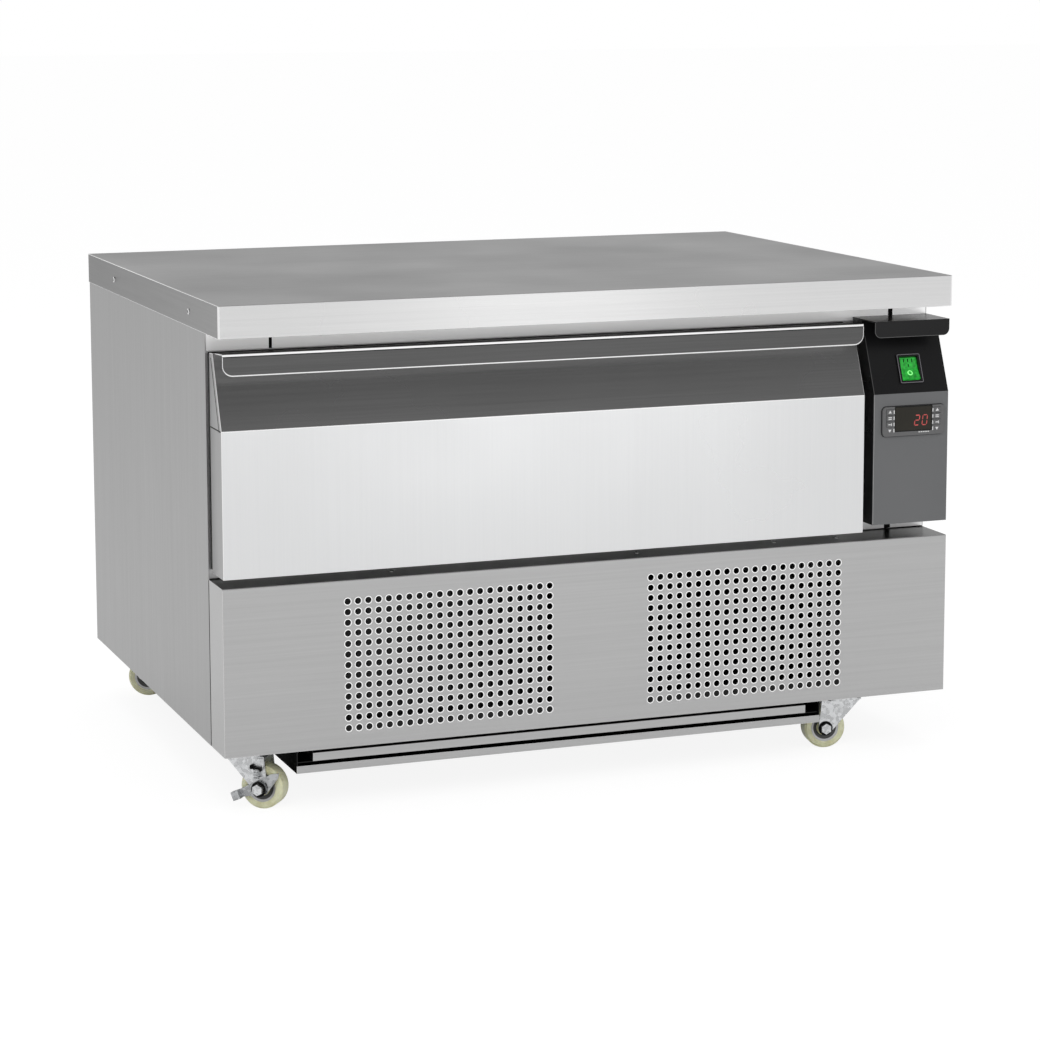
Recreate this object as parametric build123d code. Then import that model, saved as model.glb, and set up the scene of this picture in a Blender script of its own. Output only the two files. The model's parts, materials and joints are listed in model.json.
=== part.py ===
from build123d import *
import os
from math import atan, cos, degrees, radians, sin

# Refrigerated drawer counter on castors, in millimetres.
# X runs to the right, Y from the front to the back and Z up from the floor.
# Every place is worked out from the front edge of the worktop, at Y = 0.
# The finished pieces are moved so that the origin is the centre of the footprint.

# Overall size
overall_width = 900.0
overall_depth = 650.0
overall_height = 573.0

# Sheets and clearances
outer_sheet = 1.2
inner_sheet = 1.0
frame_sheet = 1.5
slide_sheet = 1.4
part_gap = 0.3
slide_gap = 0.5
shaft_clearance = 0.05
pipe_clearance = 0.4

# Worktop
worktop_edge = 36.5
worktop_flange = 15.0
worktop_corner = 2.0
worktop_overhang = 1.0
worktop_back_overhang = 2.0
worktop_screw_y = (127.0, 500.0)
worktop_screw_drop = 19.0

# Levels above the floor
skirt_bottom = 68.0
base_under = 72.0
lower_panel_top = 259.0
deck_rise = 1.2

# Depths behind the front edge of the worktop
face_setback = 3.0
carcass_setback = 62.0
back_flange = 15.0

# Drawer front and control front share one side outline
front_left = -447.5
front_right = 337.0
front_bottom = 269.0
front_top = 521.0
drawer_top = 519.5
drawer_top_fall = 3.5
front_fold = 434.0
front_thickness = 47.0
slant_recess = 35.0
lip_height = 25.0
control_lip_height = 19.5
control_lip_corner = 8.0
lip_sheet = 1.5
lip_inset = 2.5
lip_corner = 12.0

# Gasket and the opening that it closes
gasket_inset = 2.0
gasket_top_inset = 0.5
gasket_width = 14.0
gasket_foot = 3.0
gasket_strip = 4.0
gasket_foot_step = 1.0
gasket_neck_step = 3.0
opening_margin_side = 21.0
opening_margin_end = 9.5
opening_return = 18.0
rail_slot_width = 4.0
rail_slot_height = 20.0
rail_slot_left = -374.0
rail_slot_right = 400.0

# Cold space
liner_right = 411.0
liner_back = 600.0
liner_corner = 10.0
cold_front_wall = 44.0

# Ventilation slots in the back panel
back_slot_centres = (-210.0, 110.0)
back_slot_rows = 6
back_slot_pitch = 20.0
back_slot_length = 190.0
back_slot_height = 6.0
back_slot_rise = 45.0

# Drawer box and its slides
box_height = 150.0
box_floor_rise = 26.0
box_length = 534.0
box_corner = 8.0
box_rim = 6.0
box_slot_rows = 2
box_slot_columns = 5
box_slot_length = 170.0
box_slot_width = 6.0
slide_space = 14.0
slide_height = 45.0
slide_length = 520.0
slide_rise = 52.0
slide_start = 66.0
slide_grip = 1.0

# Lower front panel with two fields of holes
hole_pitch = 12.1
hole_side = 6.4
hole_columns = 21
hole_rows = 13
field_centre = 184.0
field_top_row = 234.8
lower_return = 12.0
lower_screw_y = 33.0
lower_screw_x = (-244.0, 57.0, 234.0, 316.0)

# Control front
control_left = 349.5
control_right = 448.5
control_bottom = 277.0
housing_wall = 2.0
plate_thickness = 1.5

# Rocker switch on the slanted face
switch_x = 401.7
switch_z = 461.5
switch_bezel_width = 31.0
switch_bezel_height = 36.0
switch_bezel_rise = 2.0
switch_bezel_corner = 2.0
switch_body_wall = 1.5
switch_body_depth = 20.0
switch_cut_margin = 0.5
switch_pin_radius = 1.5
rocker_width = 23.2
rocker_reach = 14.2
rocker_clearance = 0.5
rocker_tilt = 7.0
rocker_pivot_depth = 4.0
rocker_crown = 4.6
rocker_valley = 2.2
rocker_skirt = 0.5
rocker_root = 3.0

# Temperature controller on the upright plate
controller_x = 401.5
controller_z = 400.8
controller_width = 83.0
controller_height = 35.5
controller_rise = 2.4
controller_corner = 5.0
controller_body_width = 71.0
controller_body_height = 29.0
controller_body_depth = 48.0
window_width = 49.0
window_height = 28.8
window_offset_x = -0.4
window_offset_z = 2.6
window_recess = 0.8
key_width = 9.0
key_height = 6.2
key_pitch = 7.4
key_column = 31.5
key_offset_z = 0.5
sign_rows = 4
key_rise = 0.5
key_travel = 0.6
key_depth = 1.4
keys_per_column = 3

# Base, drip tray and the carrier that it slides in
base_sheet = 1.5
base_flange = 20.0
carrier_centre = -40.0
carrier_width = 650.0
carrier_setback = 8.0
carrier_length = 420.0
carrier_bottom = 41.2
carrier_lip = 8.7
carrier_flange = 10.0
runner_drop = 18.0
runner_width = 26.0
tray_width = 612.0
tray_length = 400.0
tray_height = 9.2

# Castors
wheel_diameter = 50.0
wheel_width = 22.0
hub_radius = 9.0
wheel_rim = 6.0
wheel_dish = 3.0
wheel_chamfer = 2.5
axle_diameter = 8.0
castor_centre = -41.0
castor_spread_x = 736.0
castor_inset_y = 45.0
castor_trail = 18.0
castor_plate_size = 54.0
castor_plate_sheet = 3.0
raceway_diameter = 42.0
raceway_height = 4.5
raceway_sides = 20
kingpin_radius = 5.0
kingpin_end = 2.0
fork_sheet = 2.0
fork_tongue_radius = 8.5
fork_lead = 4.5
fork_gusset_reach = 7.5
fork_gusset_drop = 4.0
crown_height = 61.0
crown_back = 26.0
crown_bore_depth = 5.0
axle_nut_radius = 6.5
axle_nut_height = 5.0
fork_headings = {
    "front_left": -38.0,
    "front_right": 169.0,
    "back_left": -25.0,
    "back_right": 200.0,
}
braked_castor = "front_left"
brake_reach = 31.0
brake_sheet = 2.0
brake_boss_radius = 8.0
brake_boss_height = 5.0
brake_pedal_width = 10.0
brake_pedal_length = 9.0
brake_pedal_height = 8.0
brake_pedal_turn = 22.0

# Condensing unit in the base
condenser_left = -310.0
condenser_right = -58.0
condenser_front = 24.0
condenser_depth = 58.0
condenser_height = 164.0
condenser_fin_pitch = 12.0
condenser_groove = 23.0
condenser_fan_radius = 66.0
condenser_fan_gap = 12.0
condenser_fan_rise = 4.0
condenser_hub_radius = 22.0
condenser_motor_radius = 30.0
condenser_motor_length = 44.0
collar_gap = 4.0
collar_wall = 1.5
collar_depth = 22.0
compressor_x = 235.0
compressor_y = 420.0
compressor_radius = 72.0
compressor_height = 148.0
compressor_seam = 67.0
compressor_shoulder = 115.0
compressor_lap = 3.0
compressor_crown_radius = 40.0
compressor_crown_drop = 5.0
compressor_plate_x = 84.0
compressor_plate_y = 56.0
compressor_plate_sheet = 3.0
compressor_foot = 12.0
compressor_foot_radius = 11.0
compressor_foot_sides = 12
compressor_foot_x = 68.0
compressor_foot_y = 42.0
compressor_stub = 14.0
discharge_rise = 60.0
suction_rise_z = 40.0
terminal_cover_width = 52.0
terminal_cover_depth = 24.0
terminal_cover_rise = 30.0
terminal_cover_height = 48.0
copper_radius = 3.2
suction_radius = 8.0
bend_radius = 22.0
short_bend = 11.0
drier_radius = 12.0
drier_length = 90.0
drier_taper = 14.0
drier_sides = 12
drier_x = -20.0
drier_y = 200.0
drier_rise = 20.0
liquid_rise = (350.0, 580.0)
suction_rise = (385.0, 580.0)
liquid_inlet_rise = 40.0
suction_outlet_rise = 130.0
discharge_x = 60.0
discharge_drop = 14.0

# Evaporator beside the drawer
evaporator_y = (330.0, 556.0)
evaporator_width = 84.0
evaporator_height = 186.0
evaporator_fin_pitch = 16.0
evaporator_groove = 26.0
evaporator_gap = 14.0
evaporator_fan_y = 200.0
evaporator_fan_z = 433.0
evaporator_fan_radius = 46.0
evaporator_fan_gap = 8.0
evaporator_fan_opening = 3.0
evaporator_hub_radius = 18.0
evaporator_motor_radius = 24.0
evaporator_motor_length = 34.0
cover_flange = 12.0
cover_slot_count = 9
cover_slot_pitch = 24.0
cover_slot_width = 8.0
cover_slot_margin = 20.0

# Coils and fans share these forms
coil_plate = 2.0
coil_plate_lap = 1.0
coil_frame = 6.0
fin_gap_share = 0.64
coil_bend_rows = 3
coil_bend_pitch = 22.0
coil_bend_reach = 11.0
coil_bend_rise = 26.0
coil_tube_radius = 4.0
fan_shaft = 3.0
fan_shaft_grip = 8.0
fan_hub_depth = 16.0
fan_hub_chamfer = 3.0
fan_blade_count = 5
fan_blade_sheet = 1.8
fan_blade_turn = 30.0
fan_blade_root = 1.5
motor_gap = 3.0
motor_arm_count = 4
motor_arm_width = 8.0
motor_arm_sheet = 3.0
motor_arm_gap = 1.0
motor_leg = 4.0
motor_leg_clearance = 5.0

# Cable bush and electrical box
bush_x = 380.0
bush_z = 115.0
bush_radius = 9.0
bush_bore = 5.0
bush_flange_lap = 2.5
bush_flange_sheet = 2.0
bush_neck = 6.0
bush_clip = 1.0
electrical_box_left = 332.0
electrical_box_width = 100.0
electrical_box_front = 44.0
electrical_box_depth = 76.0
electrical_box_height = 96.0
electrical_lid_lap = 3.0
electrical_lid_sheet = 6.0

# Fasteners
screw_head_radius = 3.6
screw_head_sides = 12
screw_head_rise = 1.6
screw_shank_radius = 2.0
screw_shank_length = 7.0

# Places that follow from the sizes above
half_width = overall_width / 2
worktop_under = overall_height - worktop_edge
side_x = half_width - worktop_overhang
side_inner = side_x - outer_sheet
side_back = overall_depth - worktop_back_overhang
back_inner = side_back - 2 * outer_sheet
front_back = face_setback + front_thickness
gasket_thickness = carcass_setback - front_back - part_gap
slope = slant_recess / (front_top - front_fold)
drawer_top_pitch = drawer_top_fall / front_thickness
slant_angle = degrees(atan(slope))
seal_left = front_left + gasket_inset
seal_right = front_right - gasket_inset
seal_bottom = front_bottom + gasket_inset
drawer_back_top = drawer_top - drawer_top_fall
seal_top = drawer_back_top - gasket_top_inset
open_left = seal_left + gasket_width + opening_margin_side
open_right = seal_right - gasket_width - opening_margin_side
open_bottom = seal_bottom + gasket_width + opening_margin_end
open_top = seal_top - gasket_width - opening_margin_end
frame_back = carcass_setback + frame_sheet
return_back = carcass_setback + opening_return
deck_under = lower_panel_top + deck_rise
deck_top = deck_under + outer_sheet
cold_front = carcass_setback + cold_front_wall
box_left = open_left + slide_space
box_right = open_right - slide_space
box_bottom = open_bottom + box_floor_rise
box_top = box_bottom + box_height
box_back = front_back + box_length
slide_z = open_bottom + slide_rise
base_top = base_under + base_sheet
carrier_left = carrier_centre - carrier_width / 2
carrier_right = carrier_centre + carrier_width / 2
tray_left = carrier_centre - tray_width / 2
tray_right = carrier_centre + tray_width / 2
runner_top = base_under - runner_drop
tray_bottom = runner_top + part_gap
wheel_radius = wheel_diameter / 2
leg_inner = wheel_width / 2 + 1.0
leg_outer = leg_inner + fork_sheet
brake_stack = brake_boss_height + 2 * part_gap
rear_castor_y = overall_depth - castor_inset_y
divider_x = open_right + outer_sheet
condenser_top = base_top + condenser_height
shroud_top = condenser_top + coil_plate
condenser_back = condenser_front + condenser_depth
condenser_fan_x = (condenser_left + condenser_right) / 2
condenser_fan_z = base_top + condenser_height / 2 + condenser_fan_rise
condenser_fan_y = condenser_back + condenser_fan_gap
condenser_ring = condenser_fan_radius + collar_gap
switch_well_width = rocker_width + 2 * rocker_clearance
switch_well_height = 2 * (rocker_reach + rocker_clearance)
switch_body_width = switch_well_width + 2 * switch_body_wall
switch_body_height = 2 * (rocker_reach + switch_body_wall)
compressor_plate_z = base_top + compressor_foot
compressor_bottom = compressor_plate_z + compressor_plate_sheet
discharge_z = compressor_bottom + discharge_rise
suction_z = compressor_bottom + suction_rise_z
stub_reach = compressor_radius + compressor_stub
drier_z = base_top + drier_rise
bush_outside = side_back - outer_sheet
bush_inside = back_inner - bush_neck
raceway_gap_low = base_under - castor_plate_sheet - raceway_height
outer_half = slide_height / 2
middle_half = outer_half - slide_sheet - slide_gap
inner_half = middle_half - slide_sheet - slide_gap
slide_reach = slide_space - slide_sheet
slide_end = slide_start + slide_length


def block(x0, x1, y0, y1, z0, z1):
    """A box between two opposite corners."""
    centre = Pos((x0 + x1) / 2, (y0 + y1) / 2, (z0 + z1) / 2)
    return centre * Box(x1 - x0, y1 - y0, z1 - z0)


def prism_x(points, x0, x1):
    """A side outline of (y, z) points, drawn out along X."""
    outline = Polyline(*[(x0, y, z) for y, z in points], close=True)
    return extrude(make_face(outline), amount=x1 - x0, dir=(1, 0, 0))


def prism_z(points, z0, z1):
    """A plan outline of (x, y) points, drawn up along Z."""
    outline = Polyline(*[(x, y, z0) for x, y in points], close=True)
    return extrude(make_face(outline), amount=z1 - z0, dir=(0, 0, 1))


def rod(start, end, radius):
    """A round bar from one point to another."""
    axis = Vector(*end) - Vector(*start)
    foot = Plane(origin=start, z_dir=axis)
    standing = (Align.CENTER, Align.CENTER, Align.MIN)
    return foot * Cylinder(radius, axis.length, align=standing)


def frame_ring(x0, x1, z0, z1, width, y0, y1):
    """An upright rectangular ring of the given width, outer edges first."""
    outer = block(x0, x1, y0, y1, z0, z1)
    return outer - block(x0 + width, x1 - width, y0, y1, z0 + width, z1 - width)


def round_edges(shape, axis, radius):
    """Rounds every edge that runs along the axis."""
    return fillet(shape.edges().filter_by(axis), radius)


def slant_y(z):
    """Depth of the slanted face at a height."""
    return face_setback + (z - front_fold) * slope


def joined(pieces):
    """One shape of several pieces."""
    whole = pieces[0]
    for piece in pieces[1:]:
        whole += piece
    return whole


def polygon_bar(start, end, radius, sides=6):
    """A many-sided bar from one point to another."""
    axis = Vector(*end) - Vector(*start)
    foot = Plane(origin=start, z_dir=axis)
    return extrude(foot * RegularPolygon(radius, sides), amount=axis.length, dir=axis.normalized())


def screw(place, direction):
    """A pan head screw whose head stands on a face at the given place."""
    way = Vector(*direction)
    seat = Vector(*place)
    head = polygon_bar(tuple(seat), tuple(seat + way * screw_head_rise), screw_head_radius, screw_head_sides)
    shank = polygon_bar(tuple(seat), tuple(seat - way * screw_shank_length), screw_shank_radius)
    return head + shank


def worktop_screw_places():
    """Seats of the screws in both end faces of the worktop, with their outward direction."""
    level = overall_height - worktop_screw_drop
    return [((side * half_width, y, level), (side, 0, 0)) for side in (-1, 1) for y in worktop_screw_y]


def lower_screw_places():
    """Seats of the screws in the top flange of the lower panel."""
    return [((x, lower_screw_y, lower_panel_top), (0, 0, 1)) for x in lower_screw_x]


def screw_holes(places):
    """Shank holes for a list of screw seats."""
    holes = []
    for place, direction in places:
        seat = Vector(*place)
        way = Vector(*direction)
        start = seat + way
        end = seat - way * (screw_shank_length + part_gap)
        holes.append(polygon_bar(tuple(start), tuple(end), screw_shank_radius + shaft_clearance))
    return holes


def worktop_skin():
    """Folded steel pan, open below, with a return flange all round."""
    pan = block(-half_width, half_width, 0, overall_depth, worktop_under, overall_height)
    pan = round_edges(pan, Axis.Z, worktop_corner)
    inner_x = half_width - outer_sheet
    inner_back = overall_depth - outer_sheet
    pan -= block(-inner_x, inner_x, outer_sheet, inner_back, worktop_under, overall_height - outer_sheet)
    flange = block(-inner_x, inner_x, outer_sheet, inner_back, worktop_under, worktop_under + outer_sheet)
    edge = outer_sheet + worktop_flange
    flange -= block(
        worktop_flange - inner_x, inner_x - worktop_flange, edge, overall_depth - edge,
        worktop_under, worktop_under + outer_sheet,
    )
    pan += flange
    for hole in screw_holes(worktop_screw_places()):
        pan -= hole
    return pan


def worktop_core():
    """Board that fills the worktop pan above its flange."""
    inner_x = half_width - outer_sheet
    core = block(
        -inner_x, inner_x, outer_sheet, overall_depth - outer_sheet,
        worktop_under + outer_sheet, overall_height - outer_sheet,
    )
    for hole in screw_holes(worktop_screw_places()):
        core -= hole
    return core


def panel_screws():
    """All visible panel screws: the worktop ends and the lower panel's flange."""
    places = worktop_screw_places() + lower_screw_places()
    return joined([screw(place, direction) for place, direction in places])


def side_panel(side):
    """Outer side sheet with a return at the back that covers the back panel's edge."""
    outline = [
        (side * side_x, carcass_setback),
        (side * side_x, side_back),
        (side * (side_x - back_flange), side_back),
        (side * (side_x - back_flange), side_back - outer_sheet),
        (side * side_inner, side_back - outer_sheet),
        (side * side_inner, carcass_setback),
    ]
    return prism_z(outline, skirt_bottom, worktop_under)


def back_slots():
    """Ventilation slots in the back panel, at the height of the condensing unit."""
    slots = []
    half = back_slot_length / 2
    for centre in back_slot_centres:
        for row in range(back_slot_rows):
            z = base_top + back_slot_rise + row * back_slot_pitch
            slots.append(block(centre - half, centre + half, back_inner, side_back, z, z + back_slot_height))
    return slots


def back_panel():
    """Rear sheet between the side panels, slotted low down and holed for the cable bush."""
    panel = block(-side_inner, side_inner, back_inner, side_back - outer_sheet, skirt_bottom, worktop_under)
    for slot in back_slots():
        panel -= slot
    return panel - rod((bush_x, back_inner, bush_z), (bush_x, side_back, bush_z), bush_radius)


def bush_rod(y0, y1, radius):
    """A round bar on the bush's axis."""
    return rod((bush_x, y0, bush_z), (bush_x, y1, bush_z), radius)


def cable_bush():
    """Snap-in bush in the back panel, through which a supply cord would leave."""
    outer_face = bush_outside + bush_flange_sheet
    neck = bush_rod(bush_inside, bush_outside, bush_radius - shaft_clearance)
    flange = bush_rod(bush_outside, outer_face, bush_radius + bush_flange_lap)
    clip = bush_rod(bush_inside, back_inner, bush_radius + bush_clip)
    return neck + flange + clip - bush_rod(bush_inside, outer_face, bush_bore)


def front_frame():
    """Face frame round the drawer opening, with the return that the liner meets."""
    face = block(-side_inner, side_inner, carcass_setback, frame_back, deck_under, worktop_under)
    lining = block(
        open_left - frame_sheet, open_right + frame_sheet, frame_back, return_back,
        open_bottom - frame_sheet, open_top + frame_sheet,
    )
    frame = face + lining
    frame -= block(open_left, open_right, carcass_setback, return_back, open_bottom, open_top)
    half = rail_slot_width / 2
    for x in (rail_slot_left, rail_slot_right):
        frame -= block(
            x - half, x + half, carcass_setback, frame_back,
            worktop_under - rail_slot_height, worktop_under,
        )
    x = rail_slot_right
    frame -= block(x - half, x + half, carcass_setback, frame_back, deck_under, deck_under + rail_slot_height)
    return frame


def liner_plan(grow):
    """Plan of the cold space, grown outwards except at the open front."""
    right = open_right + grow
    return [
        (open_left - grow, return_back),
        (right, return_back),
        (right, cold_front - grow),
        (liner_right + grow, cold_front - grow),
        (liner_right + grow, liner_back + grow),
        (open_left - grow, liner_back + grow),
    ]


def liner_solid(grow):
    """The cold space as a solid, with coved corners at the back."""
    solid = prism_z(liner_plan(grow), open_bottom - grow, open_top + grow)
    back_corners = solid.edges().filter_by(Axis.Z).group_by(Axis.Y)[-1]
    return fillet(back_corners, liner_corner + grow)


def pipe_passages():
    """Round ways for the two pipes that rise into the cold space."""
    ways = []
    for (x, y), radius in ((liquid_rise, copper_radius), (suction_rise, suction_radius)):
        ways.append(rod((x, y, deck_under), (x, y, open_bottom), radius + pipe_clearance))
    return ways


def cabinet_liner():
    """Inner lining of the cold space, open to the front where the drawer slides in."""
    liner = liner_solid(inner_sheet) - liner_solid(0.0)
    for way in pipe_passages():
        liner -= way
    return liner


def cabinet_insulation():
    """Foam between the lining and the outer sheets."""
    foam = block(-side_inner, side_inner, frame_back, back_inner, deck_top, worktop_under)
    foam -= liner_solid(inner_sheet)
    foam -= block(
        open_left - frame_sheet, open_right + frame_sheet, frame_back, return_back,
        open_bottom - frame_sheet, open_top + frame_sheet,
    )
    for way in pipe_passages():
        foam -= way
    return foam


def machine_deck():
    """Sheet under the insulated body, over the condensing unit."""
    deck = block(-side_inner, side_inner, carcass_setback, back_inner, deck_under, deck_top)
    deck -= block(-side_inner, side_inner, carcass_setback, frame_back, deck_under, deck_top)
    for way in pipe_passages():
        deck -= way
    return deck


def hole_field(centre):
    """Places of one field of holes on the panel's face, in rows and columns."""
    left = centre - hole_pitch * (hole_columns - 1) / 2
    places = []
    for row in range(hole_rows):
        for column in range(hole_columns):
            places.append((left + column * hole_pitch, field_top_row - row * hole_pitch))
    return places


def perforated_sheet():
    """Upright front sheet of the base with its two fields of holes."""
    height = lower_panel_top - skirt_bottom
    middle = skirt_bottom + height / 2
    sheet = Rectangle(2 * side_x, height).face()
    hole = Rectangle(hole_side, hole_side).face().outer_wire()
    places = hole_field(-field_centre) + hole_field(field_centre)
    cut_sheet = sheet.make_holes([Pos(x, z - middle, 0) * hole for x, z in places])
    upright = Plane(origin=(0, face_setback, middle), x_dir=(1, 0, 0), z_dir=(0, -1, 0))
    return extrude(upright * cut_sheet, amount=outer_sheet, dir=(0, 1, 0))


def lower_front_panel():
    """Folded front panel of the base: perforated face, side returns and a screwed top flange."""
    inner_face = face_setback + outer_sheet
    back = carcass_setback - part_gap
    folds = block(-side_x, side_x, inner_face, back, lower_panel_top - outer_sheet, lower_panel_top)
    folds += block(
        -side_x, side_x, inner_face, face_setback + lower_return, skirt_bottom, skirt_bottom + outer_sheet
    )
    for side in (-1, 1):
        edges = sorted((side * side_x, side * side_inner))
        folds += block(*edges, inner_face, back, skirt_bottom, lower_panel_top)
    for hole in screw_holes(lower_screw_places()):
        folds -= hole
    return perforated_sheet() + folds


def base_pan():
    """Floor of the machine space with an upturned edge all round."""
    front = face_setback + outer_sheet
    pan = block(-side_inner, side_inner, front, back_inner, base_under, base_top + base_flange)
    pan -= block(
        base_sheet - side_inner, side_inner - base_sheet, front + base_sheet, back_inner - base_sheet,
        base_top, base_top + base_flange,
    )
    return pan


def tray_carrier():
    """Channel under the base with a front lip and two runners for the drip tray."""
    front = carrier_setback
    back = carrier_setback + carrier_length
    sheet = outer_sheet
    body = block(carrier_left, carrier_right, front, back, carrier_bottom, base_under)
    body -= block(
        carrier_left + sheet, carrier_right - sheet, front, back - sheet, carrier_bottom + sheet, base_under
    )
    lip_top = carrier_bottom + carrier_lip
    clear_back = face_setback + lower_return + part_gap
    body -= block(carrier_left, carrier_right, front, clear_back, skirt_bottom - part_gap, base_under)
    body += block(carrier_left, carrier_right, front, front + sheet, carrier_bottom, lip_top)
    for side, wall in ((-1, carrier_left), (1, carrier_right)):
        flange = sorted((wall, wall + side * carrier_flange))
        body += block(*flange, clear_back, back, base_under - sheet, base_under)
        runner = sorted((wall, wall - side * runner_width))
        body += block(*runner, front + 2 * sheet, back, runner_top - sheet, runner_top)
    return body


def drip_tray():
    """Shallow pan that catches condensate and pulls out to the front."""
    front = carrier_setback
    tray = block(tray_left, tray_right, front, front + tray_length, tray_bottom, tray_bottom + tray_height)
    inner_top = tray_bottom + tray_height
    tray -= block(
        tray_left + outer_sheet, tray_right - outer_sheet, front + outer_sheet,
        front + tray_length - outer_sheet, tray_bottom + outer_sheet, inner_top,
    )
    return tray


def crown(top, pitch, lean):
    """Depth and height at which the slant, moved back by a lean, meets a top that falls to the back."""
    depth = ((top - front_fold) * slope + lean) / (1 + pitch * slope)
    return face_setback + depth, top - pitch * depth


def front_outline(bottom, top, pitch, back):
    """Side outline of a front: upright face, slanted recess and a top that may fall to the back."""
    return [
        (back, bottom),
        (face_setback, bottom),
        (face_setback, front_fold),
        crown(top, pitch, 0.0),
        (back, top - pitch * (back - face_setback)),
    ]


def inner_outline(bottom, top, pitch, back, wall):
    """The same outline moved inwards by a wall, but open to the back."""
    lean = wall / cos(radians(slant_angle))
    fold = front_fold + (wall - lean) / slope
    ceiling = top - wall
    return [
        (back, bottom + wall),
        (face_setback + wall, bottom + wall),
        (face_setback + wall, fold),
        crown(ceiling, pitch, lean),
        (back, ceiling - pitch * (back - face_setback)),
    ]


def pull_lip(x0, x1, top, pitch, height, corner):
    """Turned-down handle lip on a flange, with rounded lower corners."""
    lip = block(x0, x1, face_setback, face_setback + lip_sheet, top - height, top)
    low = lip.edges().filter_by(Axis.Y).group_by(Axis.Z)[0]
    lip = fillet(low, corner)
    edge_y, edge_z = crown(top, pitch, 0.0)
    flange = [
        (face_setback, top),
        (edge_y, edge_z),
        (edge_y, edge_z - lip_sheet),
        (face_setback, top - lip_sheet),
    ]
    return lip + prism_x(flange, x0, x1)


def drawer_front_skin():
    """Folded drawer front: closed ends, slanted recess and pull lip."""
    outline = front_outline(front_bottom, drawer_top, drawer_top_pitch, front_back)
    skin = prism_x(outline, front_left, front_right)
    hollow = prism_x(
        inner_outline(front_bottom, drawer_top, drawer_top_pitch, front_back, outer_sheet),
        front_left + outer_sheet, front_right - outer_sheet,
    )
    lip = pull_lip(
        front_left + lip_inset, front_right - lip_inset, drawer_top, drawer_top_pitch, lip_height, lip_corner
    )
    return skin - hollow + lip


def drawer_front_core():
    """Foam inside the drawer front."""
    return prism_x(
        inner_outline(front_bottom, drawer_top, drawer_top_pitch, front_back - outer_sheet, outer_sheet),
        front_left + outer_sheet, front_right - outer_sheet,
    )


def drawer_front_liner():
    """Inner plate that closes the back of the drawer front."""
    return block(
        front_left + outer_sheet, front_right - outer_sheet, front_back - outer_sheet, front_back,
        front_bottom + outer_sheet, drawer_back_top - outer_sheet,
    )


def gasket_ring(step, y0, y1):
    """One layer of the seal, set in by a step from the seal's edges on both sides."""
    return frame_ring(
        seal_left + step, seal_right - step, seal_bottom + step, seal_top - step,
        gasket_width - 2 * step, y0, y1,
    )


def drawer_gasket():
    """Magnetic seal: a foot, a narrow bellows and the sealing strip."""
    back = front_back + gasket_thickness
    foot_back = front_back + gasket_foot
    seal = gasket_ring(0.0, back - gasket_strip, back)
    seal += gasket_ring(gasket_neck_step, foot_back, back - gasket_strip)
    return seal + gasket_ring(gasket_foot_step, front_back, foot_back)


def box_slots():
    """Air slots through the floor of the drawer box."""
    slots = []
    width = box_right - box_left
    length = box_back - front_back
    for column in range(box_slot_columns):
        for row in range(box_slot_rows):
            x = box_left + width * (column + 0.5) / box_slot_columns
            y = front_back + length * (row + 0.5) / box_slot_rows
            half_x, half_y = box_slot_width / 2, box_slot_length / 2
            slots.append(
                block(x - half_x, x + half_x, y - half_y, y + half_y, box_bottom, box_bottom + outer_sheet)
            )
    return slots


def drawer_box():
    """Open box that carries the food pans, with a turned-out rim."""
    outer = block(box_left, box_right, front_back, box_back, box_bottom, box_top)
    outer = round_edges(outer, Axis.Z, box_corner)
    inner = block(
        box_left + outer_sheet, box_right - outer_sheet, front_back + outer_sheet,
        box_back - outer_sheet, box_bottom + outer_sheet, box_top,
    )
    inner = round_edges(inner, Axis.Z, box_corner - outer_sheet)
    rim = block(
        box_left - box_rim, box_right + box_rim, front_back + box_corner, box_back + box_rim,
        box_top - outer_sheet, box_top,
    )
    box = outer + rim - inner
    for slot in box_slots():
        box -= slot
    return box


def channel(side, web_near, web_far, reach, half_height, y0, y1):
    """One slide member: an upright web with a flange above and below.

    The depths are measured from the wall that carries the slide, towards the drawer box.
    The flanges run from the web to the given reach.
    """
    wall = open_left if side < 0 else open_right
    web = sorted((wall - side * web_near, wall - side * web_far))
    flange = sorted((wall - side * min(web_near, reach), wall - side * max(web_far, reach)))
    piece = block(*web, y0, y1, slide_z - half_height, slide_z + half_height)
    for sign in (-1, 1):
        levels = sorted((slide_z + sign * half_height, slide_z + sign * (half_height - slide_sheet)))
        piece += block(*flange, y0, y1, *levels)
    return piece


def slide_outer(side):
    """Member fixed to the cabinet."""
    return channel(side, 0.0, slide_sheet, slide_reach, outer_half, slide_start, slide_end)


def slide_middle(side):
    """Intermediate member, which travels half as far as the drawer."""
    near = slide_sheet + 2 * slide_gap
    return channel(side, near, near + slide_sheet, slide_reach, middle_half, slide_start, slide_end)


def slide_inner(side):
    """Member fixed to the drawer box."""
    reach = slide_sheet * 2 + 4 * slide_gap + slide_grip
    start = front_back + box_corner
    return channel(side, slide_reach, slide_space, reach, inner_half, start, slide_end - part_gap)


def slide_outer_members():
    """Both fixed slide members."""
    return slide_outer(-1) + slide_outer(1)


def slide_inner_members():
    """Both slide members on the drawer box."""
    return slide_inner(-1) + slide_inner(1)


def controller_cut(y0, y1):
    """Opening for the controller's rear body."""
    half_x = controller_body_width / 2
    half_z = controller_body_height / 2
    return block(
        controller_x - half_x, controller_x + half_x, y0, y1, controller_z - half_z, controller_z + half_z
    )


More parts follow.
